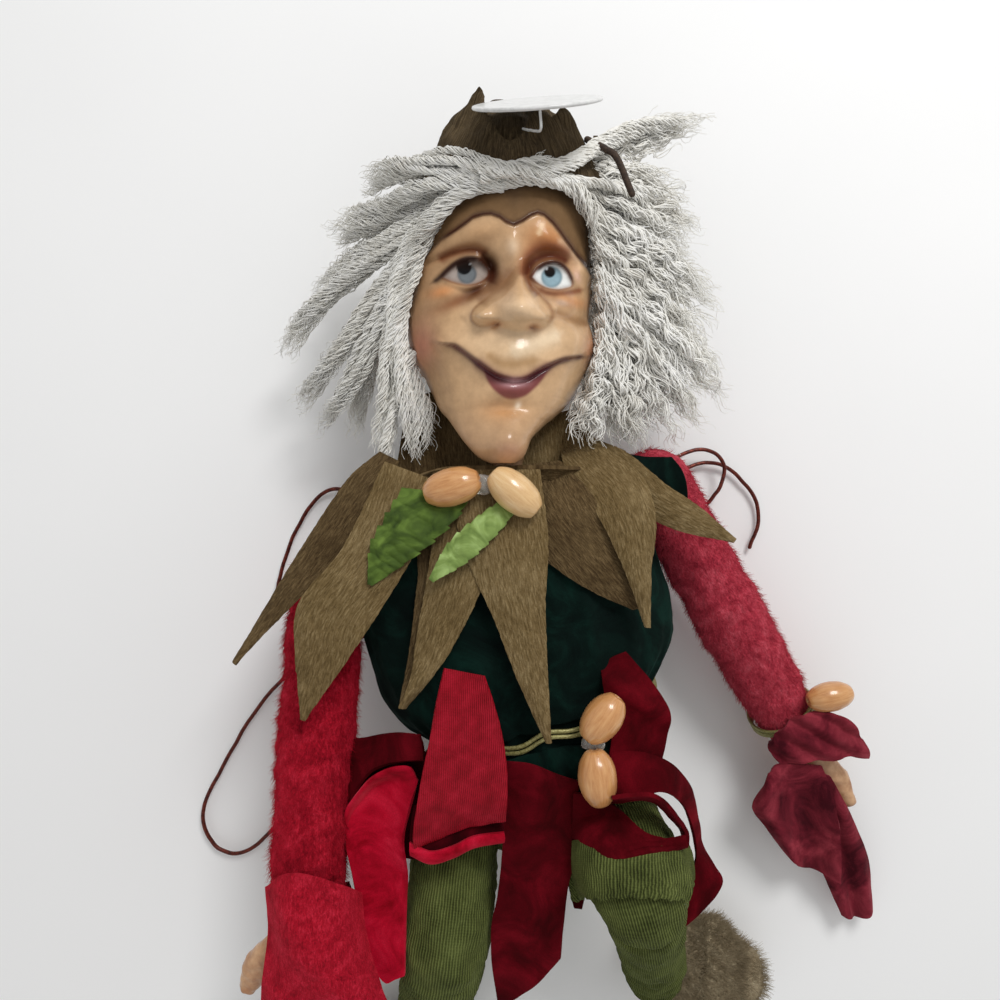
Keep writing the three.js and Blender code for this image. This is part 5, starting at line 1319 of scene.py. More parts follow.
flap_right = patch(
    [(768, 742, 21.5), (784, 726, 25.0), (806, 714, 27.0), (836, 714, 27.6), (853, 724, 26.6),
     (863, 740, 24.4)],
    [(780, 764, 21.0), (800, 762, 24.0), (826, 760, 25.6), (850, 757, 24.4), (868, 757, 21.5)],
    [(768, 742, 21.5), (772, 754, 21.6), (780, 764, 21.0)],
    [(863, 740, 24.4), (867, 748, 23.4), (868, 757, 21.5)],
    50, 80)
flap_right[..., 2] += 0.5 * ripple(flap_right, 10, 53)
fold = flap_right[..., 0] * 0.5 + flap_right[..., 1] * 0.87
flap_right[..., 2] += 0.9 * np.sin(fold * 1.1)
ribbon("cuff_right_flap", flap_right, WINE_VELVET, nodes=["cuff_flap_right"],
       body="right_forearm")

tail_right = patch(
    [(766, 784, 21.0), (774, 766, 22.4), (796, 764, 22.6), (822, 766, 22.0)],
    [(784, 850, 14.0), (800, 866, 13.0), (822, 873, 12.6), (838, 880, 12.4)],
    [(766, 784, 21.0), (753, 806, 19.6), (766, 826, 17.0), (784, 850, 14.0)],
    [(822, 766, 22.0), (832, 800, 20.4), (838, 840, 17.0), (838, 880, 12.4)],
    90, 60)
waves = np.sin(side_line(60, 0, 2.4 * math.pi))
tail_right[..., 2] += 2.2 * waves * smoothstep(0, 0.25, down_line(90))
tail_right[..., 2] += 0.4 * ripple(tail_right, 12, 57)
ribbon("cuff_right_tail", tail_right, WINE_VELVET, nodes=["cuff_tail_right"],
       body="right_forearm")
long_tail = patch(
    [(796, 768, 21.0), (812, 770, 21.2), (830, 776, 20.0)],
    [(842, 914, 7.0), (858, 918, 6.6), (872, 912, 6.2)],
    [(796, 768, 21.0), (800, 800, 17.4), (814, 850, 11.8), (842, 914, 7.0)],
    [(830, 776, 20.0), (850, 815, 16.0), (868, 860, 11.0), (872, 912, 6.2)],
    110, 44)
waves = np.sin(side_line(44, 0, 3.1 * math.pi))
long_tail[..., 2] += 1.5 * waves * smoothstep(0, 0.3, down_line(110))
long_tail[..., 2] += 0.4 * ripple(long_tail, 14, 59)
ribbon("cuff_right_long_tail", long_tail, WINE_VELVET, body="right_forearm")

flap_left = patch(
    [(267, 886, 50.0), (284, 876, 58.4), (312, 878, 60.6), (343, 884, 58.6), (360, 894, 49.0)],
    [(258, 1034, 50.0), (300, 1040, 58.6), (344, 1040, 60.4), (378, 1036, 59.0), (398, 1030, 55.0)],
    [(267, 886, 50.0), (268, 930, 53.0), (264, 980, 53.6), (258, 1034, 50.0)],
    [(360, 894, 49.0), (364, 936, 53.4), (378, 980, 56.0), (398, 1030, 55.0)],
    90, 70)
fold = flap_left[..., 0] * 0.72 + flap_left[..., 1] * 0.69
flap_left[..., 2] += 1.0 * np.sin(fold * 0.34 + 2.0) + 0.4 * ripple(flap_left, 12, 61) - 0.4
ribbon("cuff_left_flap", flap_left, RED_FELT, nodes=["cuff_flap_left"], body="left_forearm")
cuff_path = LEFT_WRIST + [(4, 2.8, -9.6), (5.5, -6, -11.2), (6.5, -18, -13.2), (7, -33, -15.7)]
tail_left_cuff = ribbon_grid(cuff_path, [12, 15, 16, 17], 70, 36)
tail_left_cuff[..., 2] += 0.5 * ripple(tail_left_cuff, 12, 63)
ribbon("cuff_left_tail", tail_left_cuff, RED_VELVET, nodes=["cuff_tail_left"],
       body="left_forearm")

# Hands: plain painted resin, the fingers one rounded form

HAND_WIDE = [4.2, 4.5, 5.2, 4.8, 2.4]
HAND_DEEP = [4.2, 4.2, 3.7, 3.0, 2.0]
for side, wrist, points, seed in (
    ("right", RIGHT_WRIST, [(-1, 1, 0), (2, -3.5, 0), (8, -11, -0.6), (15, -18, -1), (20, -25, -1.4)], 71),
    ("left", LEFT_WRIST, [(0.5, 1, 0), (-1, -4, 0), (-7, -10, -1), (-13, -15, -2), (-17, -22, -3)], 73),
):
    grid = dome_grid(wrist + np.array(points, float), HAND_WIDE, HAND_DEEP, 60, 64)
    grid = push(grid, ripple(grid, 6, seed) * 0.3)
    name = f"hand_resin_{side}"
    piece(name, closed_mesh(name, grid), RESIN_HAND, f"{side}_forearm", [f"hand_{side}"])

# Wings: bare bent wire

WIRES = {
    "wing_left_upper": [(-20, 16, 13), (-30, 24, 8), (-44, 34, 5), (-56, 41, 3.4), (-66, 40, 2.6),
                        (-75, 27, 2.2), (-80, 12, 2.2), (-81, 4, 2.4)],
    "wing_left_lower": [(-22, 2, 13), (-34, -2, 8), (-50, -7, 5), (-68, -13, 3.4), (-86, -30, 2.4),
                        (-100, -53, 2.2), (-106, -67, 2.2), (-103, -77, 2.2), (-96, -81, 2.2),
                        (-88, -78, 2.4), (-80, -70, 2.4)],
    "wing_right_outer": [(16, 20, 13), (25, 29, 9.5), (45, 42, 5), (60, 50, 3), (70, 49, 2.4),
                         (79, 40, 2.2), (81, 31, 2.2), (78, 22, 2.2)],
    "wing_right_inner": [(20, 25, 15), (30, 36, 13), (42, 45, 9), (54, 53, 6.8), (63, 54.5, 6),
                         (68, 50, 6.2), (67, 43, 6.4), (63, 37, 6)],
}


def wire(name, points, radius, material, body, node, seed, rows=150):
    """A round wire along a path, slightly uneven, as bent by hand."""
    path = smooth_path(points, rows)
    path = path + 0.12 * np.stack([ripple(path, 9, seed + axis) for axis in range(3)], axis=-1)
    grid = dome_grid(path, [radius, radius], [radius, radius], rows, 12, dome_rows=3)
    piece(name, closed_mesh(name, grid), material, body, [node])


for number, (node, points) in enumerate(WIRES.items()):
    wire(f"wire_{node}", points, 0.65, COPPER, "torso", node, 80 + number * 3)

# Hat: a felt dome in a ring of upright pointed petals

HAT_MIDDLE = np.array([-2.0, 124.0, 33.0])
HAT_HALF = np.array([25.0, 29.0, 27.0])


def hat_dome_grid(rows=90, sides=160):
    grid = HAT_MIDDLE + ball_grid(np.linspace(0.02, math.pi / 2, rows), full_turn(sides)) * HAT_HALF
    grid = push(grid, 0.9 * ripple(grid, 16, 91) + 0.3 * ripple(grid, 6, 92) - 0.5)
    grid[..., 2] = np.maximum(grid[..., 2], 1.0)
    return grid


hat_piece = stuffed("hat_felt_dome", hat_dome_grid(), HAT_FELT, "head", ["hat_dome"])

# The petals' upper edge: degrees round the dome from its front, and height over the dome's lower rim
HAT_EDGE = [(-95, 9), (-77, 13), (-62, 9), (-46, 16), (-34, 18), (-27, 21.5), (-22.5, 22.8), (-18.5, 16),
            (-13, 11.5), (-7, 7.6), (-1, 6.6), (4, 8.5), (9, 13.5), (13, 15.2), (18, 14.4), (23, 14.6),
            (29, 17.2), (33, 17.4), (38, 15), (44, 10.5), (50, 8), (62, 13), (74, 18), (84, 12), (95, 8)]
HAT_EDGE_REACH = 95
HAT_PETAL_ROOT = 2
PETAL_OUT = 2.45
PETAL_INWARD = 0.18


def hat_petal_grid(rows=56, columns=420):
    """One band of felt round the dome, whose upper edge rises to the petals' points."""
    degrees = np.linspace(-HAT_EDGE_REACH, HAT_EDGE_REACH, columns)
    edge = smooth_path(HAT_EDGE, 400)
    high = np.interp(degrees, edge[:, 0], edge[:, 1])
    turn = np.radians(degrees)
    lift = down_line(rows) * (high[None] + HAT_PETAL_ROOT) - HAT_PETAL_ROOT
    out = PETAL_OUT - PETAL_INWARD * np.clip(lift, 0, None)
    grid = np.zeros((rows, columns, 3))
    grid[..., 0] = HAT_MIDDLE[0] + (HAT_HALF[0] + out) * np.sin(turn)[None]
    grid[..., 1] = HAT_MIDDLE[1] + lift
    grid[..., 2] = HAT_MIDDLE[2] + (HAT_HALF[2] + out) * np.cos(turn)[None]
    away = np.stack([np.sin(turn), turn * 0, np.cos(turn)], axis=-1)[None]
    return grid + away * (0.5 * ripple(grid, 12, 95) + 0.2 * ripple(grid, 5, 96))[..., None]


cloth("hat_felt_petals", hat_petal_grid(), 1.2, HAT_FELT, "head",
      ["hat_petals"])

# Tag: a blank round plastic disc on a thin pin
TAG_REACH = 13.5
tag_centre = JOINT["tag_swing"] + unit(np.array([0.0, 0.52, -0.85])) * TAG_REACH
tag_normal = unit(np.array([-0.07, 0.85, 0.52]))
tag_side = unit(np.cross(tag_normal, UP))
tag_over = np.cross(tag_side, tag_normal)
tag_turn = full_turn(120)
# Radius and height of the tag's upper face; the lower face is the same, turned over
tag_upper = [(0.2, 0.5), (8, 0.5), (14, 0.5), (15.9, 0.5), (16.35, 0.38), (16.5, 0.1)]
tag_lower = [(radius, -height) for radius, height in reversed(tag_upper)]
tag_out = [tag_side * math.cos(t) + tag_over * math.sin(t) for t in tag_turn]
tag_grid = np.array([[tag_centre + out * radius + tag_normal * height for out in tag_out]
                     for radius, height in tag_upper + tag_lower])
tag_mesh = closed_mesh("tag_plastic", tag_grid[:, ::-1], sharp=50)
piece("tag_plastic", tag_mesh, TAG, "tag", ["tag_disc"])
pin_top = JOINT["tag_swing"] - tag_normal * 0.9
wire("tag_filament", [pin_top, pin_top - tag_normal * 4, (0.0, 133.8, 61.1)], 0.32, TAG, "head",
     "tag_pin", 97, rows=40)
twig_path = [(17.3, 134.6, 53.9), (22.0, 131.2, 55.8), (25, 128, 57), (29, 119, 56)]
wire("twig_dark", twig_path, 0.9, TWIG, "head", "hat_twig", 99, rows=50)

# Head: one skin from chin to crown, its features placed where they show in the picture

NECK_X = -4.0
CHIN_Y = 47.6
CROWN_Y = 139.0
HEAD_HALF_WIDTH = 26
HEAD_MIDDLE_Z = 30
HEAD_BACK = 25
POLE_GAP = 0.06
FRONT_CROWDING = 0.62
# Share of the way from chin to crown, share of the half width, and the height of the plain front
FACE_ROWS = [
    (-0.02, 0.05, 57.0), (0, 0.16, 58.2), (0.04, 0.37, 60.4), (0.11, 0.55, 60.4), (0.2, 0.74, 60.6),
    (0.29, 0.89, 61.6), (0.38, 0.975, 62.0), (0.47, 1, 61.4), (0.56, 1, 60.6), (0.66, 0.99, 61),
    (0.76, 0.93, 60.2), (0.85, 0.8, 56), (0.93, 0.58, 47), (0.98, 0.34, 39), (1.01, 0.1, 36),
]


def face_x(y):
    """The middle of the face at a height, which leans a little."""
    return NECK_X - 0.4 + 0.03 * (y - CHIN_Y)


def head_grid(rows=330, columns=294):
    """The plain head, and how far each point lies to its front."""
    table = smooth_path(FACE_ROWS, 600)
    share = 0.5 - np.cos(np.linspace(POLE_GAP, math.pi - POLE_GAP, rows)) / 2
    share = share * 0.55 + np.linspace(share[0], share[-1], rows) * 0.45
    wide = np.interp(share, table[:, 0], table[:, 1]) * HEAD_HALF_WIDTH
    front = np.interp(share, table[:, 0], table[:, 2])
    y = CHIN_Y + share * (CROWN_Y - CHIN_Y)
    jaw = 1 - smoothstep(0.02, 0.3, share)
    middle = HEAD_MIDDLE_Z + jaw * 25
    back_share = np.sin(math.pi * np.clip(0.12 + share * 0.8, 0, 1)) ** 0.6
    back = HEAD_BACK * back_share * (1 - jaw * 0.82)
    t = np.linspace(-math.pi, math.pi, columns, endpoint=False)
    turn = t - FRONT_CROWDING * np.sin(t)
    side = np.sin(turn)
    out = np.cos(turn)
    grid = np.zeros((rows, columns, 3))
    grid[..., 0] = face_x(y)[:, None] + side[None] * wide[:, None]
    grid[..., 1] = y[:, None]
    rise = np.clip(out, 0, None)[None] ** 0.8 * (front - middle)[:, None]
    fall = np.clip(out, None, 0)[None] * back[:, None]
    grid[..., 2] = middle[:, None] + rise + fall
    return grid, np.repeat(np.clip(out * 3, 0, 1)[None], rows, axis=0)


LEFT_OUTLINE = [(419, 262), (415, 276), (410, 301), (407.5, 326), (410, 346), (415, 364), (425, 379),
                (433, 395.5), (440, 410), (448, 419), (461, 438), (470, 449), (480, 458.5), (492, 464)]
RIGHT_OUTLINE = [(591, 262), (593, 280), (592, 301), (589, 322.5), (593, 338), (595, 350), (592, 362),
                 (586, 376), (576, 392), (562.5, 409.6), (546, 424), (532, 438), (528, 448), (523, 458),
                 (514, 464)]


def fit_outline(grid):
    """Move each side of the head until its edge falls on the outline in the picture."""
    rows = np.arange(len(grid))
    for _ in range(4):
        px, py = seen(grid)
        for side, outline in ((-1, LEFT_OUTLINE), (1, RIGHT_OUTLINE)):
            curve = smooth_path(outline, 200)
            edge = np.argmax(px * side, axis=1)
            height = py[rows, edge]
            wanted = np.interp(height, curve[:, 1], curve[:, 0])
            weight = smoothstep(228, 266, height) * smoothstep(470, 461, height)
            scale = (CAMERA_HEIGHT - grid[rows, edge, 2]) / FOCAL_PIXELS
            shift = (wanted - px[rows, edge]) * scale * weight
            out = np.clip((grid[..., 0] - face_x(grid[..., 1])) * side, 0, None)
            share = out / np.maximum(out[rows, edge], 1e-6)[:, None]
            grid[..., 0] += shift[:, None] * np.clip(share, 0, 1) ** 1.4
    return grid


def spot(px, py, x, y, wide, high, turn=0.0):
    """A soft oval, 1 in its middle."""
    c = math.cos(math.radians(turn))
    s = math.sin(math.radians(turn))
    u = ((px - x) * c + (py - y) * s) / wide
    v = ((py - y) * c - (px - x) * s) / high
    return np.exp(-u * u - v * v)


def stroke(px, py, points, count=60):
    """The distance in pixels to a curve, and how far along it the nearest place is."""
    path = smooth_path(points, count)[:, :2]
    best = np.full(px.shape, 1e9)
    place = np.zeros(px.shape)
    for i in range(count - 1):
        a = path[i]
        d = path[i + 1] - a
        t = np.clip(((px - a[0]) * d[0] + (py - a[1]) * d[1]) / max(d @ d, 1e-9), 0, 1)
        gap = (px - a[0] - t * d[0]) ** 2 + (py - a[1] - t * d[1]) ** 2
        closer = gap < best
        best = np.where(closer, gap, best)
        place = np.where(closer, (i + t) / (count - 1), place)
    return np.sqrt(best), place


def line(px, py, points, width, taper=0.12):
    """A soft line, 1 on the curve, thinner to its ends."""
    distance, place = stroke(px, py, points)
    ends = smoothstep(0, taper, place) * smoothstep(1, 1 - taper, place)
    return bell(distance, width * (0.35 + 0.65 * ends)) * (0.25 + 0.75 * ends)


def inside(px, py, corners, count=70):
    """Distance in pixels into a closed outline; below zero outside it."""
    corners = list(corners) + [corners[0]]
    path = smooth_path(corners, count)
    distance, _ = stroke(px, py, path, count)
    odd = np.zeros(px.shape, bool)
    for (x0, y0), (x1, y1) in zip(path[:-1], path[1:]):
        crosses = (y0 > py) != (y1 > py)
        rise = y1 - y0 if abs(y1 - y0) > 1e-9 else 1e-9
        x = x0 + (py - y0) / rise * (x1 - x0)
        odd ^= crosses & (px < x)
    return np.where(odd, distance, -distance)


BROW = np.array([(380, 320), (404, 292), (420, 266), (425, 258), (441, 240), (455, 231), (466, 223),
                 (473, 217.5), (483, 214.5), (491, 214), (499.5, 217), (506, 222), (514, 225), (523, 221),
                 (531, 215.5), (537.6, 213), (544, 215), (552.6, 223), (559, 231), (566, 241), (576, 254.5),
                 (586, 266), (591, 273), (604, 296), (630, 330)], float)
LEFT_EYE = [(443, 277), (449, 270), (457, 263.5), (467, 259.5), (478, 260.5), (486, 268), (487, 276),
            (478, 282.5), (466, 284.5), (453, 281.5)]
RIGHT_EYE = [(532.7, 277), (537, 270), (544, 265.3), (551, 263.6), (558.5, 264.8), (566, 271.5),
             (571.6, 284.5), (565, 288), (556, 289), (546, 287), (538, 282.5)]
NOSE = [(523, 258), (530, 272), (536, 289), (545, 302), (552.5, 312), (551, 323), (542, 328.5), (530, 330),
        (517, 331.5), (503, 328.5), (492, 325.5), (480, 326.5), (471, 319), (474, 309), (485, 300),
        (499, 290), (511, 276), (517, 265)]
UPPER_LIP = [(438, 343.5), (448, 345), (456, 347), (470, 357), (483, 367), (496, 375.6), (513, 380.6),
             (526, 379), (541, 370.6), (557.5, 362), (570, 358.5), (580, 356.5), (583, 359)]
LOWER_LIP = [(484, 369), (496, 377), (513, 382), (527, 380), (541, 372), (549, 368), (543, 379), (534, 389),
             (523, 397), (508, 399), (495, 391), (487, 380)]
RIGHT_CREASE = [(526, 276), (527, 266), (533, 257.5), (541, 252.5), (550, 251.5), (560, 253.5), (570, 260),
                (580, 273)]
LEFT_FOLD = [(421, 268), (432, 261), (450, 254), (463, 248.5), (475, 247.5), (485, 253), (492, 263),
             (493, 274)]


def under_brow(px, py):
    """Distance in pixels below the brow line."""
    y = np.interp(px, BROW[:, 0], BROW[:, 1])
    slope = np.interp(px, BROW[:, 0], np.gradient(BROW[:, 1], BROW[:, 0]))
    return (py - y) / np.sqrt(1 + np.clip(slope, -1.6, 1.6) ** 2)


# Radius of an eyeball, in pixels
EYEBALL = 24


def face_relief(px, py):
    """How far the features stand out of the plain head, in millimetres."""
    mark = partial(spot, px, py)
    groove = partial(line, px, py)
    below = under_brow(px, py)
    z = 1.7 * smoothstep(-2.5, 2.5, below) * np.exp(-np.clip(below, 0, None) / 26)
    z -= 0.35 * bell(below + 1.6, 2.0)
    z += 1.5 * mark(480, 232, 24, 10, -14) + 1.6 * mark(550, 238, 20, 11, 38)
    z += 0.8 * mark(512, 244, 9, 14)
    # Sockets, eyeballs and lids
    z -= 4.4 * mark(474, 270, 25, 15, -6)
    z -= 2.6 * mark(489, 270, 8, 13)
    z -= 2.8 * mark(549, 272, 25, 16, 12)
    z -= 1.6 * mark(528, 275, 6, 12)
    left = inside(px, py, LEFT_EYE)
    right = inside(px, py, RIGHT_EYE)
    for edge, x, y in ((left, 466, 272), (right, 552, 276)):
        ball = np.sqrt(np.clip(1 - ((px - x) ** 2 + (py - y) ** 2) / EYEBALL ** 2, 0, 1))
        z += 2.2 * ball * smoothstep(-9, 4, edge)
        z += 0.6 * bell(edge + 3.0, 2.6) - 0.5 * smoothstep(-1.6, 1.2, edge)
    z -= 0.8 * groove(RIGHT_CREASE, 4.6)
    z -= 1.1 * groove(LEFT_FOLD, 3.2)
    z += 0.8 * mark(577, 276, 6, 10, 30)
    z += 0.9 * mark(443, 292, 14, 6.5, -12)
    z -= 1.4 * mark(470, 295, 24, 6.5, -28)
    z += 0.9 * mark(567, 299, 18, 6.5, 14)
    z -= 0.7 * groove([(548, 300), (566, 309), (588, 320)], 4.5)
    # Nose
    nose = inside(px, py, NOSE)
    z += 2.6 * smoothstep(-2.5, 9, nose)
    distance, place = stroke(px, py, [(514, 240), (517, 256), (521, 272), (522, 290), (521, 306)])
    z += (0.6 + 3.9 * place ** 1.4) * bell(distance, 8 + 12 * place)
    z += 2.2 * mark(521, 308, 20, 18)
    z += 2.4 * mark(482, 315, 10, 9) + 2.4 * mark(542, 316, 10, 9)
    z -= 1.3 * mark(496, 324.5, 4.5, 2.6, -14) + 1.3 * mark(534, 327.5, 4.5, 2.4, 8)
    # Cheeks, muzzle and mouth
    z += 2.0 * mark(430, 340, 20, 28) + 2.0 * mark(577, 342, 18, 26)
    z -= 0.5 * groove([(466, 318), (452, 330), (441, 343)], 6)
    z -= 1.0 * groove([(552, 312), (568, 317), (588, 324)], 5)
    lip = np.array(UPPER_LIP)[:-1]
    y_lip = np.interp(px, lip[:, 0], lip[:, 1])
    over_lip = y_lip - py
    near = smoothstep(425, 450, px) * smoothstep(596, 572, px)
    z += near * 2.6 * smoothstep(-2.2, 2.2, over_lip) * np.exp(-np.clip(over_lip, 0, None) / 24)
    z += 2.2 * mark(513, 352, 38, 18)
    z -= 0.9 * groove(UPPER_LIP, 2.2)
    z += 1.5 * mark(509, 389, 20, 8)
    z -= 1.3 * mark(508, 408, 26, 7)
    z += 1.0 * mark(455, 385, 20, 20) + 1.0 * mark(562, 385, 16, 18)
    z -= 0.4 * groove([(433, 340), (436, 350), (442, 358)], 3)
    z -= 0.5 * groove([(584, 352), (587, 360), (584, 368)], 3)
    z += 3.4 * mark(507, 441, 21, 19)
    return z


class Paint:
    """Layers of picture colours on a skin, each laid where it shows in the picture."""

    def __init__(self, px, py, colour):
        self.places = (px, py)
        self.values = np.broadcast_to(np.array(rgb(*colour)), (*px.shape, 3)).copy()

    def lay(self, colour, share):
        self.values = self.values + (np.array(rgb(*colour)) - self.values) * np.clip(share, 0, 1)[..., None]

    def spot(self, colour, strength, *where):
        self.lay(colour, strength * spot(*self.places, *where))

    def line(self, colour, strength, points, width):
        self.lay(colour, strength * line(*self.places, points, width))


LID = [(527, 281), (528.5, 268), (534.5, 260.5), (543, 256.5), (552, 255.5), (562, 258.5), (571, 265)]
# For each eye its outline, iris and size, pupil and size, iris colour, colour of the white, and painted
# glint; the left eye's iris and white are painted darker, as it lies in shade
EYES = (
    (LEFT_EYE, (467, 274), 9.5, (464, 267), 7.6, (112, 118, 122), (164, 152, 144), (470, 264)),
    (RIGHT_EYE, (551.7, 277), 10.4, (549.8, 272.0), 5.6, (146, 174, 186), (232, 234, 232), (546.6, 268.5)),
)


def face_paint(px, py, front):
    """The colours of the painted face, from plain skin to the glints in the eyes, with painted shade and
    highlights laid over it.
    """
    below = under_brow(px, py)
    face = Paint(px, py, (210, 172, 130))
    face.lay((168, 128, 90), 0.75 * (1 - front))
    # Painted shade over the left cheek and jaw
    face.lay((168, 130, 94), 0.8 * smoothstep(468, 425, px) * smoothstep(440, 370, py))
    face.lay((186, 148, 112), 0.7 * smoothstep(385, 440, py))
    # Painted light on the muzzle, and a painted highlight streak across it
    face.spot((226, 196, 158), 0.8, 512, 340, 46, 20)
    face.line((238, 214, 180), 0.9, [(508, 354), (530, 345), (562, 332)], 9)
    # Painted shade under the muzzle
    face.line((182, 142, 96), 0.75, [(484, 352), (505, 364), (540, 360)], 5)
    # Forehead in painted shadow under the hair, brow line and eye shading
    face.lay((120, 92, 62), 0.96 * smoothstep(1.5, -3.5, below))
    face.lay((104, 82, 62), 0.75 * smoothstep(-10, -38, below))
    face.spot((180, 138, 96), 0.7, 478, 236, 26, 15, -18)
    face.lay((194, 122, 62), 0.85 * smoothstep(-1, 4, below) * spot(px, py, 548, 244, 26, 22, 30))
    # Painted highlights on the right brow and the nose bridge
    face.line((240, 206, 164), 0.8, [(538, 236), (541, 228), (543, 222)], 3)
    face.line((236, 196, 156), 0.85, [(557, 238), (570, 252), (584, 272)], 3.4)
    face.spot((232, 204, 172), 0.75, 513, 246, 6, 9)
    # Painted shade down the left side of the nose
    face.spot((158, 116, 82), 0.7, 505, 282, 12, 20, 20)
    face.line((140, 100, 68), 0.7, [(478, 306), (490, 292), (505, 280), (515, 268)], 7)
    # The left eye lies in shadow: painted shade in its fold, its inner corner and under it
    face.line((108, 54, 26), 0.92, [(436, 262), (450, 254), (466, 250), (480, 251), (488, 258)], 6)
    face.line((62, 28, 14), 0.97, [(478, 256), (489, 262), (493, 273), (488, 284)], 7)
    face.spot((128, 72, 38), 0.8, 458, 301, 27, 6.5, -24)
    face.spot((84, 40, 18), 0.95, 477, 290, 15, 7, -38)
    face.spot((70, 32, 16), 0.95, 491, 275, 7, 13)
    face.spot((214, 146, 92), 0.9, 441, 292, 13, 6, -14)
    socket = [(524, 280), (525, 263), (532, 252), (545, 247), (560, 249), (572, 258)]
    face.line((146, 78, 42), 0.8, socket, 7)
    face.line((84, 36, 16), 0.98, LID, 6.8)
    # Painted shade between the right eye and the nose
    face.line((110, 56, 30), 0.9, [(528, 274), (531, 286), (540, 296)], 4.5)
    face.line((130, 70, 38), 0.92, [(536, 287), (548, 293), (568, 293), (585, 289)], 4)
    face.spot((216, 150, 98), 0.8, 572, 302, 18, 6, 12)
    # A painted highlight under the right eye
    face.spot((244, 214, 190), 0.7, 562, 303, 7, 3, 10)
    face.spot((232, 190, 166), 0.8, 577, 276, 4, 8, -20)
    # A band of painted shadow below the right eye
    face.line((146, 106, 68), 0.8, [(553, 311), (568, 317), (590, 325)], 6)
    # Nose, cheeks, lips and chin
    distance, _ = stroke(px, py, NOSE + [NOSE[0]], 70)
    lower = smoothstep(292, 304, py) * smoothstep(505, 470, px)
    face.lay((120, 78, 48), 0.6 * lower * bell(distance, 1.6))
    # Painted shade down the right side of the nose, and painted light on its tip
    face.line((128, 80, 48), 0.7, [(529, 272), (533, 284), (538, 292)], 3)
    face.spot((236, 204, 166), 0.75, 522, 308, 20, 12)
    nose_shadow_edge = [(532, 284), (540, 294), (549, 305), (552.5, 315), (547, 325)]
    face.line((146, 102, 66), 0.75, nose_shadow_edge, 2.6)
    # Nostrils darkened with painted shade
    for x, y in ((495.5, 324.5), (534, 327.5)):
        face.spot((184, 118, 72), 0.6, x, y, 8, 4)
        face.spot((104, 56, 30), 0.8, x + (2 if x < 510 else -2), y, 3.0, 1.8)
    face.spot((188, 118, 94), 0.8, 421, 346, 14, 22)
    face.spot((206, 136, 102), 0.7, 592, 350, 8, 18)
    lips = inside(px, py, LOWER_LIP)
    face.lay((124, 50, 54), 0.95 * smoothstep(-2.0, 2.0, lips))
    face.line((100, 38, 46), 0.9, UPPER_LIP[3:10], 5.4)
    face.line((84, 26, 36), 0.97, UPPER_LIP, 3.2)
    face.spot((80, 28, 28), 0.95, 579, 357.5, 5, 2.6, -20)
    # A painted highlight on the lower lip, painted shade under it and a painted highlight below that
    face.spot((216, 168, 172), 0.9, 514, 383, 12, 4.2)
    face.spot((198, 142, 90), 0.65, 502, 411, 22, 11)
    face.spot((246, 226, 200), 0.85, 518, 405.5, 3, 4, 20)
    face.spot((208, 154, 126), 0.6, 510, 452, 14, 10)
    ends = smoothstep(428, 450, px) * smoothstep(597, 586, px)
    face.lay((60, 26, 18), 0.98 * bell(below + 0.6, 2.7) * ends)
    # Eyes
    for outline, iris, iris_size, pupil, pupil_size, iris_colour, white, glint in EYES:
        edge = inside(px, py, outline)
        opening = smoothstep(-0.9, 0.9, edge)
        rim = bell(edge + 1.4, 2.4) * smoothstep(10, -4, py - iris[1] - 3)
        face.lay((50, 24, 16), 0.95 * rim)
        face.lay((110, 62, 42), 0.6 * bell(edge + 0.8, 1.6))
        eye = Paint(px, py, white)
        # Painted shade round the edge of the white, under the lids
        eye.lay((128, 98, 84), 0.5 * bell(edge, 2.4))
        reach = np.hypot(px - iris[0], py - iris[1])
        eye.lay(iris_colour, smoothstep(iris_size + 1.4, iris_size - 1.4, reach))
        eye.lay(tuple(v * 0.7 for v in iris_colour), 0.5 * bell(reach - iris_size + 1.0, 1.4))
        reach = np.hypot(px - pupil[0], py - pupil[1])
        eye.lay((3, 3, 5), smoothstep(pupil_size + 0.9, pupil_size - 0.9, reach))
        reach = np.hypot(px - glint[0], py - glint[1])
        eye.lay((232, 236, 240), 0.85 * smoothstep(1.8, 0.8, reach))
        shade = smoothstep(8, -2, py - (iris[1] - 9)) * 0.5
        eye.lay((50, 34, 28), shade)
        face.values = face.values * (1 - opening[..., None]) + eye.values * opening[..., None]
    lashes = [(430, 284), (438, 279), (445, 272.5), (456, 263.5), (466, 259.5), (480, 259)]
    face.line((46, 22, 14), 0.95, lashes, 3.0)
    face.line((56, 24, 14), 0.9, [(536, 272), (544, 265), (556, 262.5), (567, 269), (573, 283)], 1.8)
    return face.values


head, front_share = head_grid()
head = fit_outline(head)
base_z = head[..., 2].copy()
for _ in range(4):
    px, py = seen(head)
    head[..., 2] = base_z + face_relief(px, py) * front_share
head = fit_outline(head)
px, py = seen(head)
gloss = smoothstep(-6, 0, under_brow(px, py)) * (0.35 + 0.65 * smoothstep(455, 470, px))
for outline in (LEFT_EYE, RIGHT_EYE):
    gloss = gloss * (1 - smoothstep(-2, 1, inside(px, py, outline)))
gloss = gloss * (1 - 0.7 * spot(px, py, 545, 226, 14, 10))
gloss = gloss * (1 - 0.9 * line(px, py, LID, 9)) * (1 - 0.8 * line(px, py, LEFT_FOLD, 9))
gloss = gloss * (1 - 0.8 * spot(px, py, 488, 283, 12, 10))
head_paint = np.concatenate([face_paint(px, py, front_share), gloss[..., None]], axis=-1)

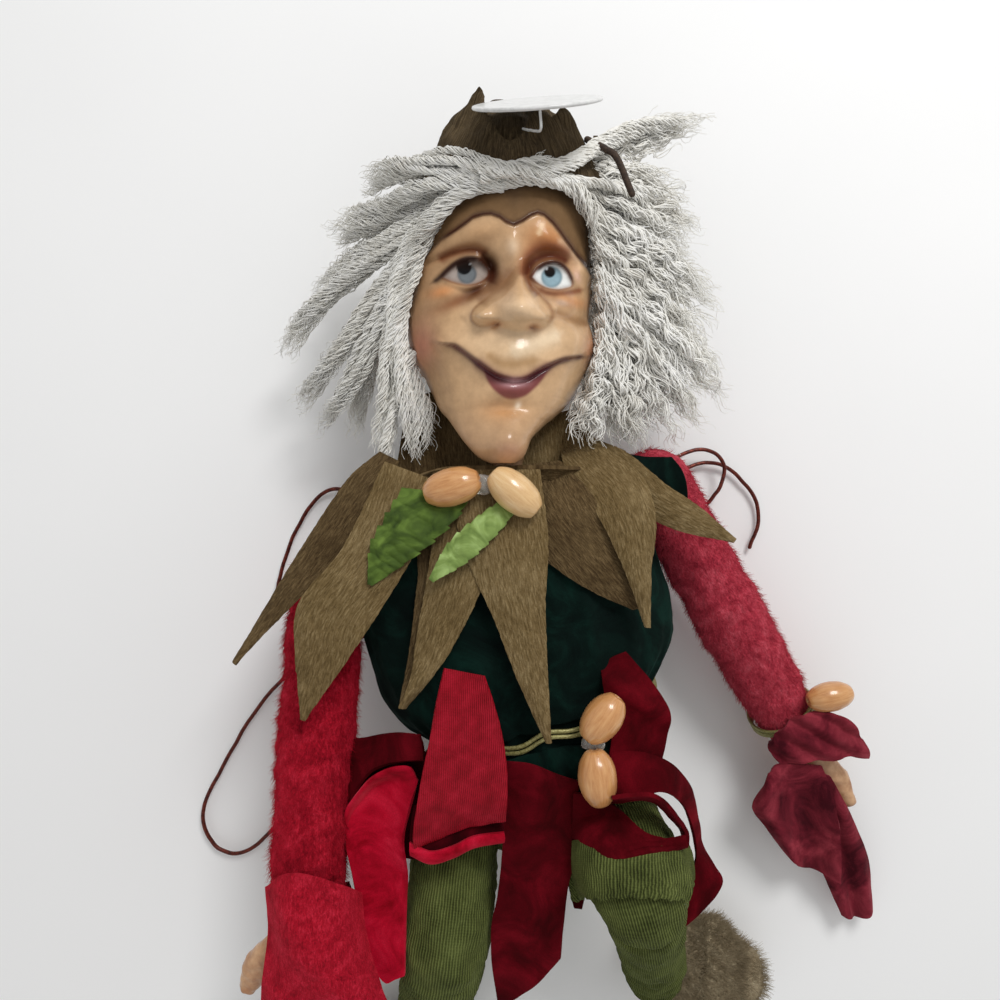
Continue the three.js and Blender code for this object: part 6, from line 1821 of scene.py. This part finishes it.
skin = Shader("Painted resin face", 0.34, Coat_Roughness=0.16, Specular_IOR_Level=0.12)
skin_attribute = skin.node("ShaderNodeAttribute", attribute_name="Paint")
skin_paint = skin_attribute.outputs["Color"]
skin_gloss = skin_attribute.outputs["Alpha"]
skin.link(skin.maths("MULTIPLY", skin_gloss, 0.6), skin.bsdf.inputs["Coat Weight"])
skin_dullness = skin.maths("SUBTRACT", 0.68, skin.maths("MULTIPLY", skin_gloss, 0.34))
skin.link(skin_dullness, skin.bsdf.inputs["Roughness"])
skin_body = skin.place("Object")
skin_mottle = skin.noise(skin_body, 260, detail=5, rough=0.6)
skin_tone = skin.ramp(skin_mottle, [(0.3, (0.86, 0.84, 0.82)), (0.7, (1.1, 1.1, 1.1))])
skin.colour(skin.mix(1.0, skin_paint, skin_tone, "MULTIPLY"))
skin.bump(skin.noise(skin_body, 120, detail=3), 0.0006, 0.35)
skin.bump(skin.noise(skin_body, 900, detail=2), 0.00006, 0.4)
head_mesh = closed_mesh("head_painted", head, paint=head_paint)
piece("head_painted", head_mesh, skin.material, "head", ["head"])

# Hair: twisted locks of yarn on the left, a crinkled mass on the right

SCALP = np.array([-4.0, 97.0, 23.5])
SCALP_HALF = np.array([31.0, 40.0, 24.0])
HAIR_LOWEST = 0.4


def scalp_grid(rows=110, sides=160):
    grid = SCALP + ball_grid(np.linspace(0.03, math.pi - 0.03, rows), full_turn(sides)) * SCALP_HALF
    grid = push(grid, 0.8 * ripple(grid, 8, 101) + 0.4 * ripple(grid, 3, 102) - 0.6)
    grid[..., 2] = np.clip(grid[..., 2], HAIR_LOWEST, 37)
    return grid


scalp = scalp_grid()
piece("hair_scalp", closed_mesh("hair_scalp", scalp), YARN, "head", ["hair_cap"])


def yarn_frames(yarns):
    """Two directions square to each yarn, at each of its points."""
    forward = unit(np.gradient(yarns, axis=1))
    side = unit(np.cross(UP, forward))
    return side, np.cross(forward, side)


def lock_yarns(guide, size, number, chance, points):
    """Yarns that run together along one lock: pixels and heights, then the lock's radius."""
    path = smooth_path(from_pixels(guide), points)
    side, over = ring_frames(path)
    share = side_line(points)
    angle = chance.uniform(0, 2 * math.pi, (number, 1)) + chance.uniform(2.5, 5.5) * share
    reach = size * np.sqrt(chance.uniform(0, 1, (number, 1)))
    reach = reach * (0.72 + 0.28 * np.sin(math.pi * share ** 0.8))
    sway = 0.55 * np.sin(share * chance.uniform(7, 12, (number, 1)) + chance.uniform(0, 6, (number, 1)))
    across = np.cos(angle) * reach + sway
    above = np.sin(angle) * reach * 0.8
    yarns = path[None] + side[None] * across[..., None] + over[None] * above[..., None]
    return shortened(yarns, chance.uniform(0.8, 1.0, number))


def fan_yarns(roots, tips, number, chance, points, lift, curl, deep):
    """Yarns from a hairline to an outer edge, both given as pixels and heights."""
    root_line = smooth_path(from_pixels(roots), 200)
    tip_line = smooth_path(from_pixels(tips), 200)
    place = np.sort(chance.uniform(0, 1, number))
    low = (chance.uniform(0, 1, (number, 1)) ** 1.3) * deep
    root = root_line[(place * 199).astype(int)] - UP * low
    landing = np.clip(place + chance.normal(0, 0.035, number), 0, 1)
    tip = tip_line[(landing * 199).astype(int)] - UP * low * 0.35
    bow = (root + tip) / 2 + UP * lift + chance.normal(0, 2.2, (number, 3))
    share = np.linspace(0, 1, points)[None, :, None]
    yarns = root[:, None] * (1 - share) ** 2 + bow[:, None] * 2 * share * (1 - share)
    yarns = yarns + tip[:, None] * share ** 2
    side, over = yarn_frames(yarns)
    waves = chance.uniform(22, 44, (number, 1, 1)) * share
    ready = smoothstep(0.0, 0.2, share)
    yarns = yarns + side * curl * ready * np.sin(waves + chance.uniform(0, 6, (number, 1, 1)))
    yarns = yarns + over * curl * ready * np.sin(waves * 1.23 + chance.uniform(0, 6, (number, 1, 1)))
    return shortened(yarns, chance.uniform(0.7, 1.0, number))


def shortened(paths, shares):
    """Each path cut off at its own share of its length, with as many points as before."""
    points = paths.shape[1]
    place = side_line(points) * np.asarray(shares)[:, None] * (points - 1)
    low = np.clip(place.astype(int), 0, points - 2)
    t = (place - low)[..., None]
    row = np.arange(len(paths))[:, None]
    return paths[row, low] * (1 - t) + paths[row, low + 1] * t


def spun(yarns, fibres, size, pitch, fuzz, chance, radius):
    """The fibres wound round each yarn, and how thick each is along its length."""
    count, points = yarns.shape[:2]
    side, over = yarn_frames(yarns)
    steps = np.linalg.norm(np.diff(yarns, axis=1), axis=2)
    along = np.concatenate([np.zeros((count, 1)), np.cumsum(steps, axis=1)], axis=1)[:, None]
    angle = np.arange(fibres)[None, :, None] * 2 * math.pi / fibres + along * (2 * math.pi / pitch)
    angle = angle + chance.normal(0, 0.5, (count, fibres, 1)) + chance.uniform(0, 6, (count, 1, 1))
    reach = size * chance.uniform(0.35, 1.0, (count, fibres, 1)) ** 0.6
    share = np.linspace(0, 1, points)[None, None]
    loose = fuzz * share ** 3 * chance.normal(0, 1, (count, fibres, 1))
    wander = fuzz * 0.35 * np.sin(share * chance.uniform(10, 30, (count, fibres, 1)) + angle[..., :1] * 5)
    a = np.cos(angle) * reach + loose + wander
    b = np.sin(angle) * reach - loose * 0.6
    paths = yarns[:, None] + side[:, None] * a[..., None] + over[:, None] * b[..., None]
    paths = shortened(paths.reshape(count * fibres, points, 3), chance.uniform(0.86, 1.0, count * fibres))
    paths[..., 2] = np.maximum(paths[..., 2], HAIR_LOWEST)
    taper = np.clip(1.2 - np.linspace(0, 1, points) ** 4, 0.35, 1)[None]
    return paths, taper * radius * chance.uniform(0.8, 1.2, (count * fibres, 1))


# Locks: the path of each as pixels and heights, its radius, and how many yarns run in it
LEFT_LOCKS = [
    ([(478, 164, 55), (450, 164, 50), (415, 170, 42), (384, 176, 35), (354, 187, 27)], 2.4, 6),
    ([(470, 178, 55), (440, 190, 49), (402, 206, 42), (362, 220, 34), (322, 230, 28)], 2.3, 6),
    ([(462, 186, 54), (424, 206, 47), (380, 224, 40), (326, 248, 28)], 2.3, 5),
    ([(456, 194, 54), (418, 222, 48), (372, 250, 42), (340, 272, 36), (310, 304, 30)], 2.6, 6),
    ([(448, 204, 54), (404, 238, 48), (350, 278, 38), (312, 312, 31), (286, 348, 24), (277, 368, 18)],
     2.7, 8),
    ([(440, 218, 53), (404, 262, 48), (372, 300, 42), (342, 344, 36), (314, 386, 27), (291, 413, 18)],
     2.9, 8),
    ([(420, 244, 53), (398, 290, 48), (378, 330, 43), (360, 368, 38), (332, 412, 30), (311, 438, 21)],
     2.9, 8),
    ([(412, 262, 51), (397, 314, 47), (390, 356, 44), (388, 396, 42), (384, 436, 40), (384, 474, 41)],
     3.2, 8),
    ([(424, 232, 52), (401, 280, 49), (396, 330, 46), (402, 380, 44), (412, 424, 43), (413, 468, 43)],
     3.4, 10),
    ([(409, 268, 50), (399, 310, 47), (404, 356, 45), (417, 396, 43), (428, 430, 42), (428, 462, 41)],
     2.6, 7),
    ([(412, 350, 46), (396, 396, 43), (388, 430, 42), (380, 480, 41), (377, 526, 43)], 0.9, 2),
    ([(452, 190, 44), (400, 226, 38), (350, 262, 30), (304, 296, 20)], 2.4, 5),
    ([(436, 222, 43), (396, 280, 36), (352, 332, 28), (318, 372, 18)], 2.4, 5),
    ([(428, 240, 40), (392, 310, 33), (364, 380, 26), (350, 446, 20)], 2.6, 6),
    ([(470, 176, 45), (420, 196, 38), (370, 206, 30), (330, 214, 22)], 2.4, 5),
]
RIGHT_ROOTS = [(548, 164, 54), (566, 172, 55), (580, 186, 55), (590, 212, 54.5), (596, 246, 53.5),
               (599, 286, 52), (600, 326, 50), (597, 366, 47)]
RIGHT_TIPS = [(690, 176, 31), (712, 206, 30), (722, 262, 29), (730, 316, 28), (728, 364, 29),
              (738, 412, 30), (700, 446, 33), (652, 462, 37), (604, 456, 42), (566, 444, 45)]
TUFT_ROOTS = [(560, 164, 53), (572, 158, 52), (582, 166, 52)]
TUFT_TIPS = [(690, 112, 27), (718, 113, 26), (700, 134, 28)]
FRINGE_LOCKS = [
    ([(520, 170, 63), (488, 166, 63.5), (452, 162, 60), (418, 164, 54), (384, 172, 46), (360, 186, 42)],
     2.6, 8),
    ([(500, 178, 62), (470, 178, 60.5), (438, 184, 57), (402, 198, 50), (368, 214, 42)], 2.2, 6),
    ([(480, 173, 63.5), (510, 168, 64.5), (538, 164, 64), (556, 158, 62)], 2.0, 5),
    ([(500, 180, 62), (535, 179, 62), (566, 186, 59.5), (588, 208, 56), (600, 240, 53)], 2.1, 6),
    ([(502, 182, 62), (470, 188, 60.5), (446, 204, 58), (424, 234, 55), (403, 264, 51)], 2.2, 7),
    ([(536, 172, 63), (572, 160, 60), (608, 140, 52), (655, 122, 42), (716, 114, 32)], 1.9, 6),
    ([(545, 180, 61.5), (580, 181, 58), (622, 186, 49), (674, 202, 38)], 2.2, 6),
    ([(462, 166, 62), (500, 171, 64), (530, 173, 64), (566, 170, 61)], 1.7, 4),
]
YARN_POINTS = 44
FIBRE_RADIUS = 0.22
# Each side of the hair is two pieces, so that neither has more faces than the export takes
LEFT_UPPER_LOCKS = 7
RIGHT_OUTER_YARNS = 60


def hair_piece(name, yarns, seed, fibres, size, pitch, fuzz, nodes=()):
    """Yarns spun from fibres, as one piece."""
    paths, radii = spun(yarns, fibres, size, pitch, fuzz, np.random.default_rng(seed), FIBRE_RADIUS)
    piece(name, fibre_mesh(name, paths, radii), YARN, "head", nodes)


chance = np.random.default_rng(201)
left_yarns = [lock_yarns(guide, size, number, chance, YARN_POINTS) for guide, size, number in LEFT_LOCKS]
twisted = {"fibres": 13, "size": 1.1, "pitch": 7.5, "fuzz": 0.9}
upper_yarns = np.concatenate(left_yarns[:LEFT_UPPER_LOCKS])
lower_yarns = np.concatenate(left_yarns[LEFT_UPPER_LOCKS:])
hair_piece("hair_left_locks", upper_yarns, 205, **twisted, nodes=["hair_left"])
hair_piece("hair_left_lower_locks", lower_yarns, 208, **twisted)
right_yarns = np.concatenate([
    fan_yarns(RIGHT_ROOTS, RIGHT_TIPS, 112, chance, YARN_POINTS, lift=3.0, curl=0.9, deep=13),
    fan_yarns(TUFT_ROOTS, TUFT_TIPS, 9, chance, YARN_POINTS, lift=0.0, curl=0.7, deep=3),
])
crinkled = {"fibres": 10, "size": 1.0, "pitch": 13, "fuzz": 1.8}
hair_piece("hair_right_mass", right_yarns[:RIGHT_OUTER_YARNS], 206, **crinkled, nodes=["hair_right"])
hair_piece("hair_right_inner_mass", right_yarns[RIGHT_OUTER_YARNS:], 209, **crinkled)
fringe_yarns = [lock_yarns(guide, size, number, chance, YARN_POINTS) for guide, size, number in FRINGE_LOCKS]
hair_piece("hair_fringe", np.concatenate(fringe_yarns), 207, fibres=13, size=1.0, pitch=8, fuzz=0.8)

# Hidden core parts keep their solids, with their own finish
for node, material in (("neck_stem", NECK_RESIN), ("spine_wire", STEEL)):
    frame["nodes"][node].material_slots[0].material = material

# Floor, light and camera

FLOOR_Z = -0.2
FLOOR_REACH = 1500
FLOOR_LINES = 31
floor_shader = Shader("Pale studio floor", 0.9, Specular_IOR_Level=0.1)
floor_cloud = floor_shader.noise(floor_shader.place("Object"), 6, detail=3)
floor_stops = [(0.3, (0.94, 0.94, 0.935)), (0.7, (0.97, 0.97, 0.965))]
floor_shader.colour(floor_shader.ramp(floor_cloud, floor_stops))
floor_steps = np.linspace(-FLOOR_REACH, FLOOR_REACH, FLOOR_LINES)
floor_points = np.array([[[x, y, FLOOR_Z] for x in floor_steps] for y in floor_steps], float)
floor_mesh = make_mesh("studio_floor", floor_points, [grid_faces(FLOOR_LINES, FLOOR_LINES)])
floor = bpy.data.objects.new("studio_floor", floor_mesh)
floor.data.materials.append(floor_shader.material)
bpy.context.scene.collection.objects.link(floor)

world = bpy.data.worlds.new("Studio")
bpy.context.scene.world = world
world.use_nodes = True
background = world.node_tree.nodes["Background"]
background.inputs["Color"].default_value = (1, 1, 1, 1)
background.inputs["Strength"].default_value = 0.55


def lamp(name, place, target, size, power):
    data = bpy.data.lights.new(name, "AREA")
    data.shape = "DISK"
    data.size = size
    data.energy = power
    thing = bpy.data.objects.new(name, data)
    thing.location = Vector(place)
    thing.rotation_euler = (Vector(target) - Vector(place)).to_track_quat("-Z", "Y").to_euler()
    bpy.context.scene.collection.objects.link(thing)


lamp("soft_key", (0.25, 0.55, 0.62), (0, 0, 0.03), 0.3, 3.4)

camera_data = bpy.data.cameras.new("camera")
camera_data.sensor_width = SENSOR
camera_data.lens = SENSOR * FOCAL_PIXELS / IMAGE_SIZE
camera_data.clip_start = 0.01
camera = bpy.data.objects.new("camera", camera_data)
camera.location = (CAMERA_X * MM, CAMERA_Y * MM, CAMERA_HEIGHT * MM)
camera.rotation_euler = (0, 0, 0)
bpy.context.scene.collection.objects.link(camera)
bpy.context.scene.camera = camera
bpy.context.scene.view_settings.view_transform = "Standard"
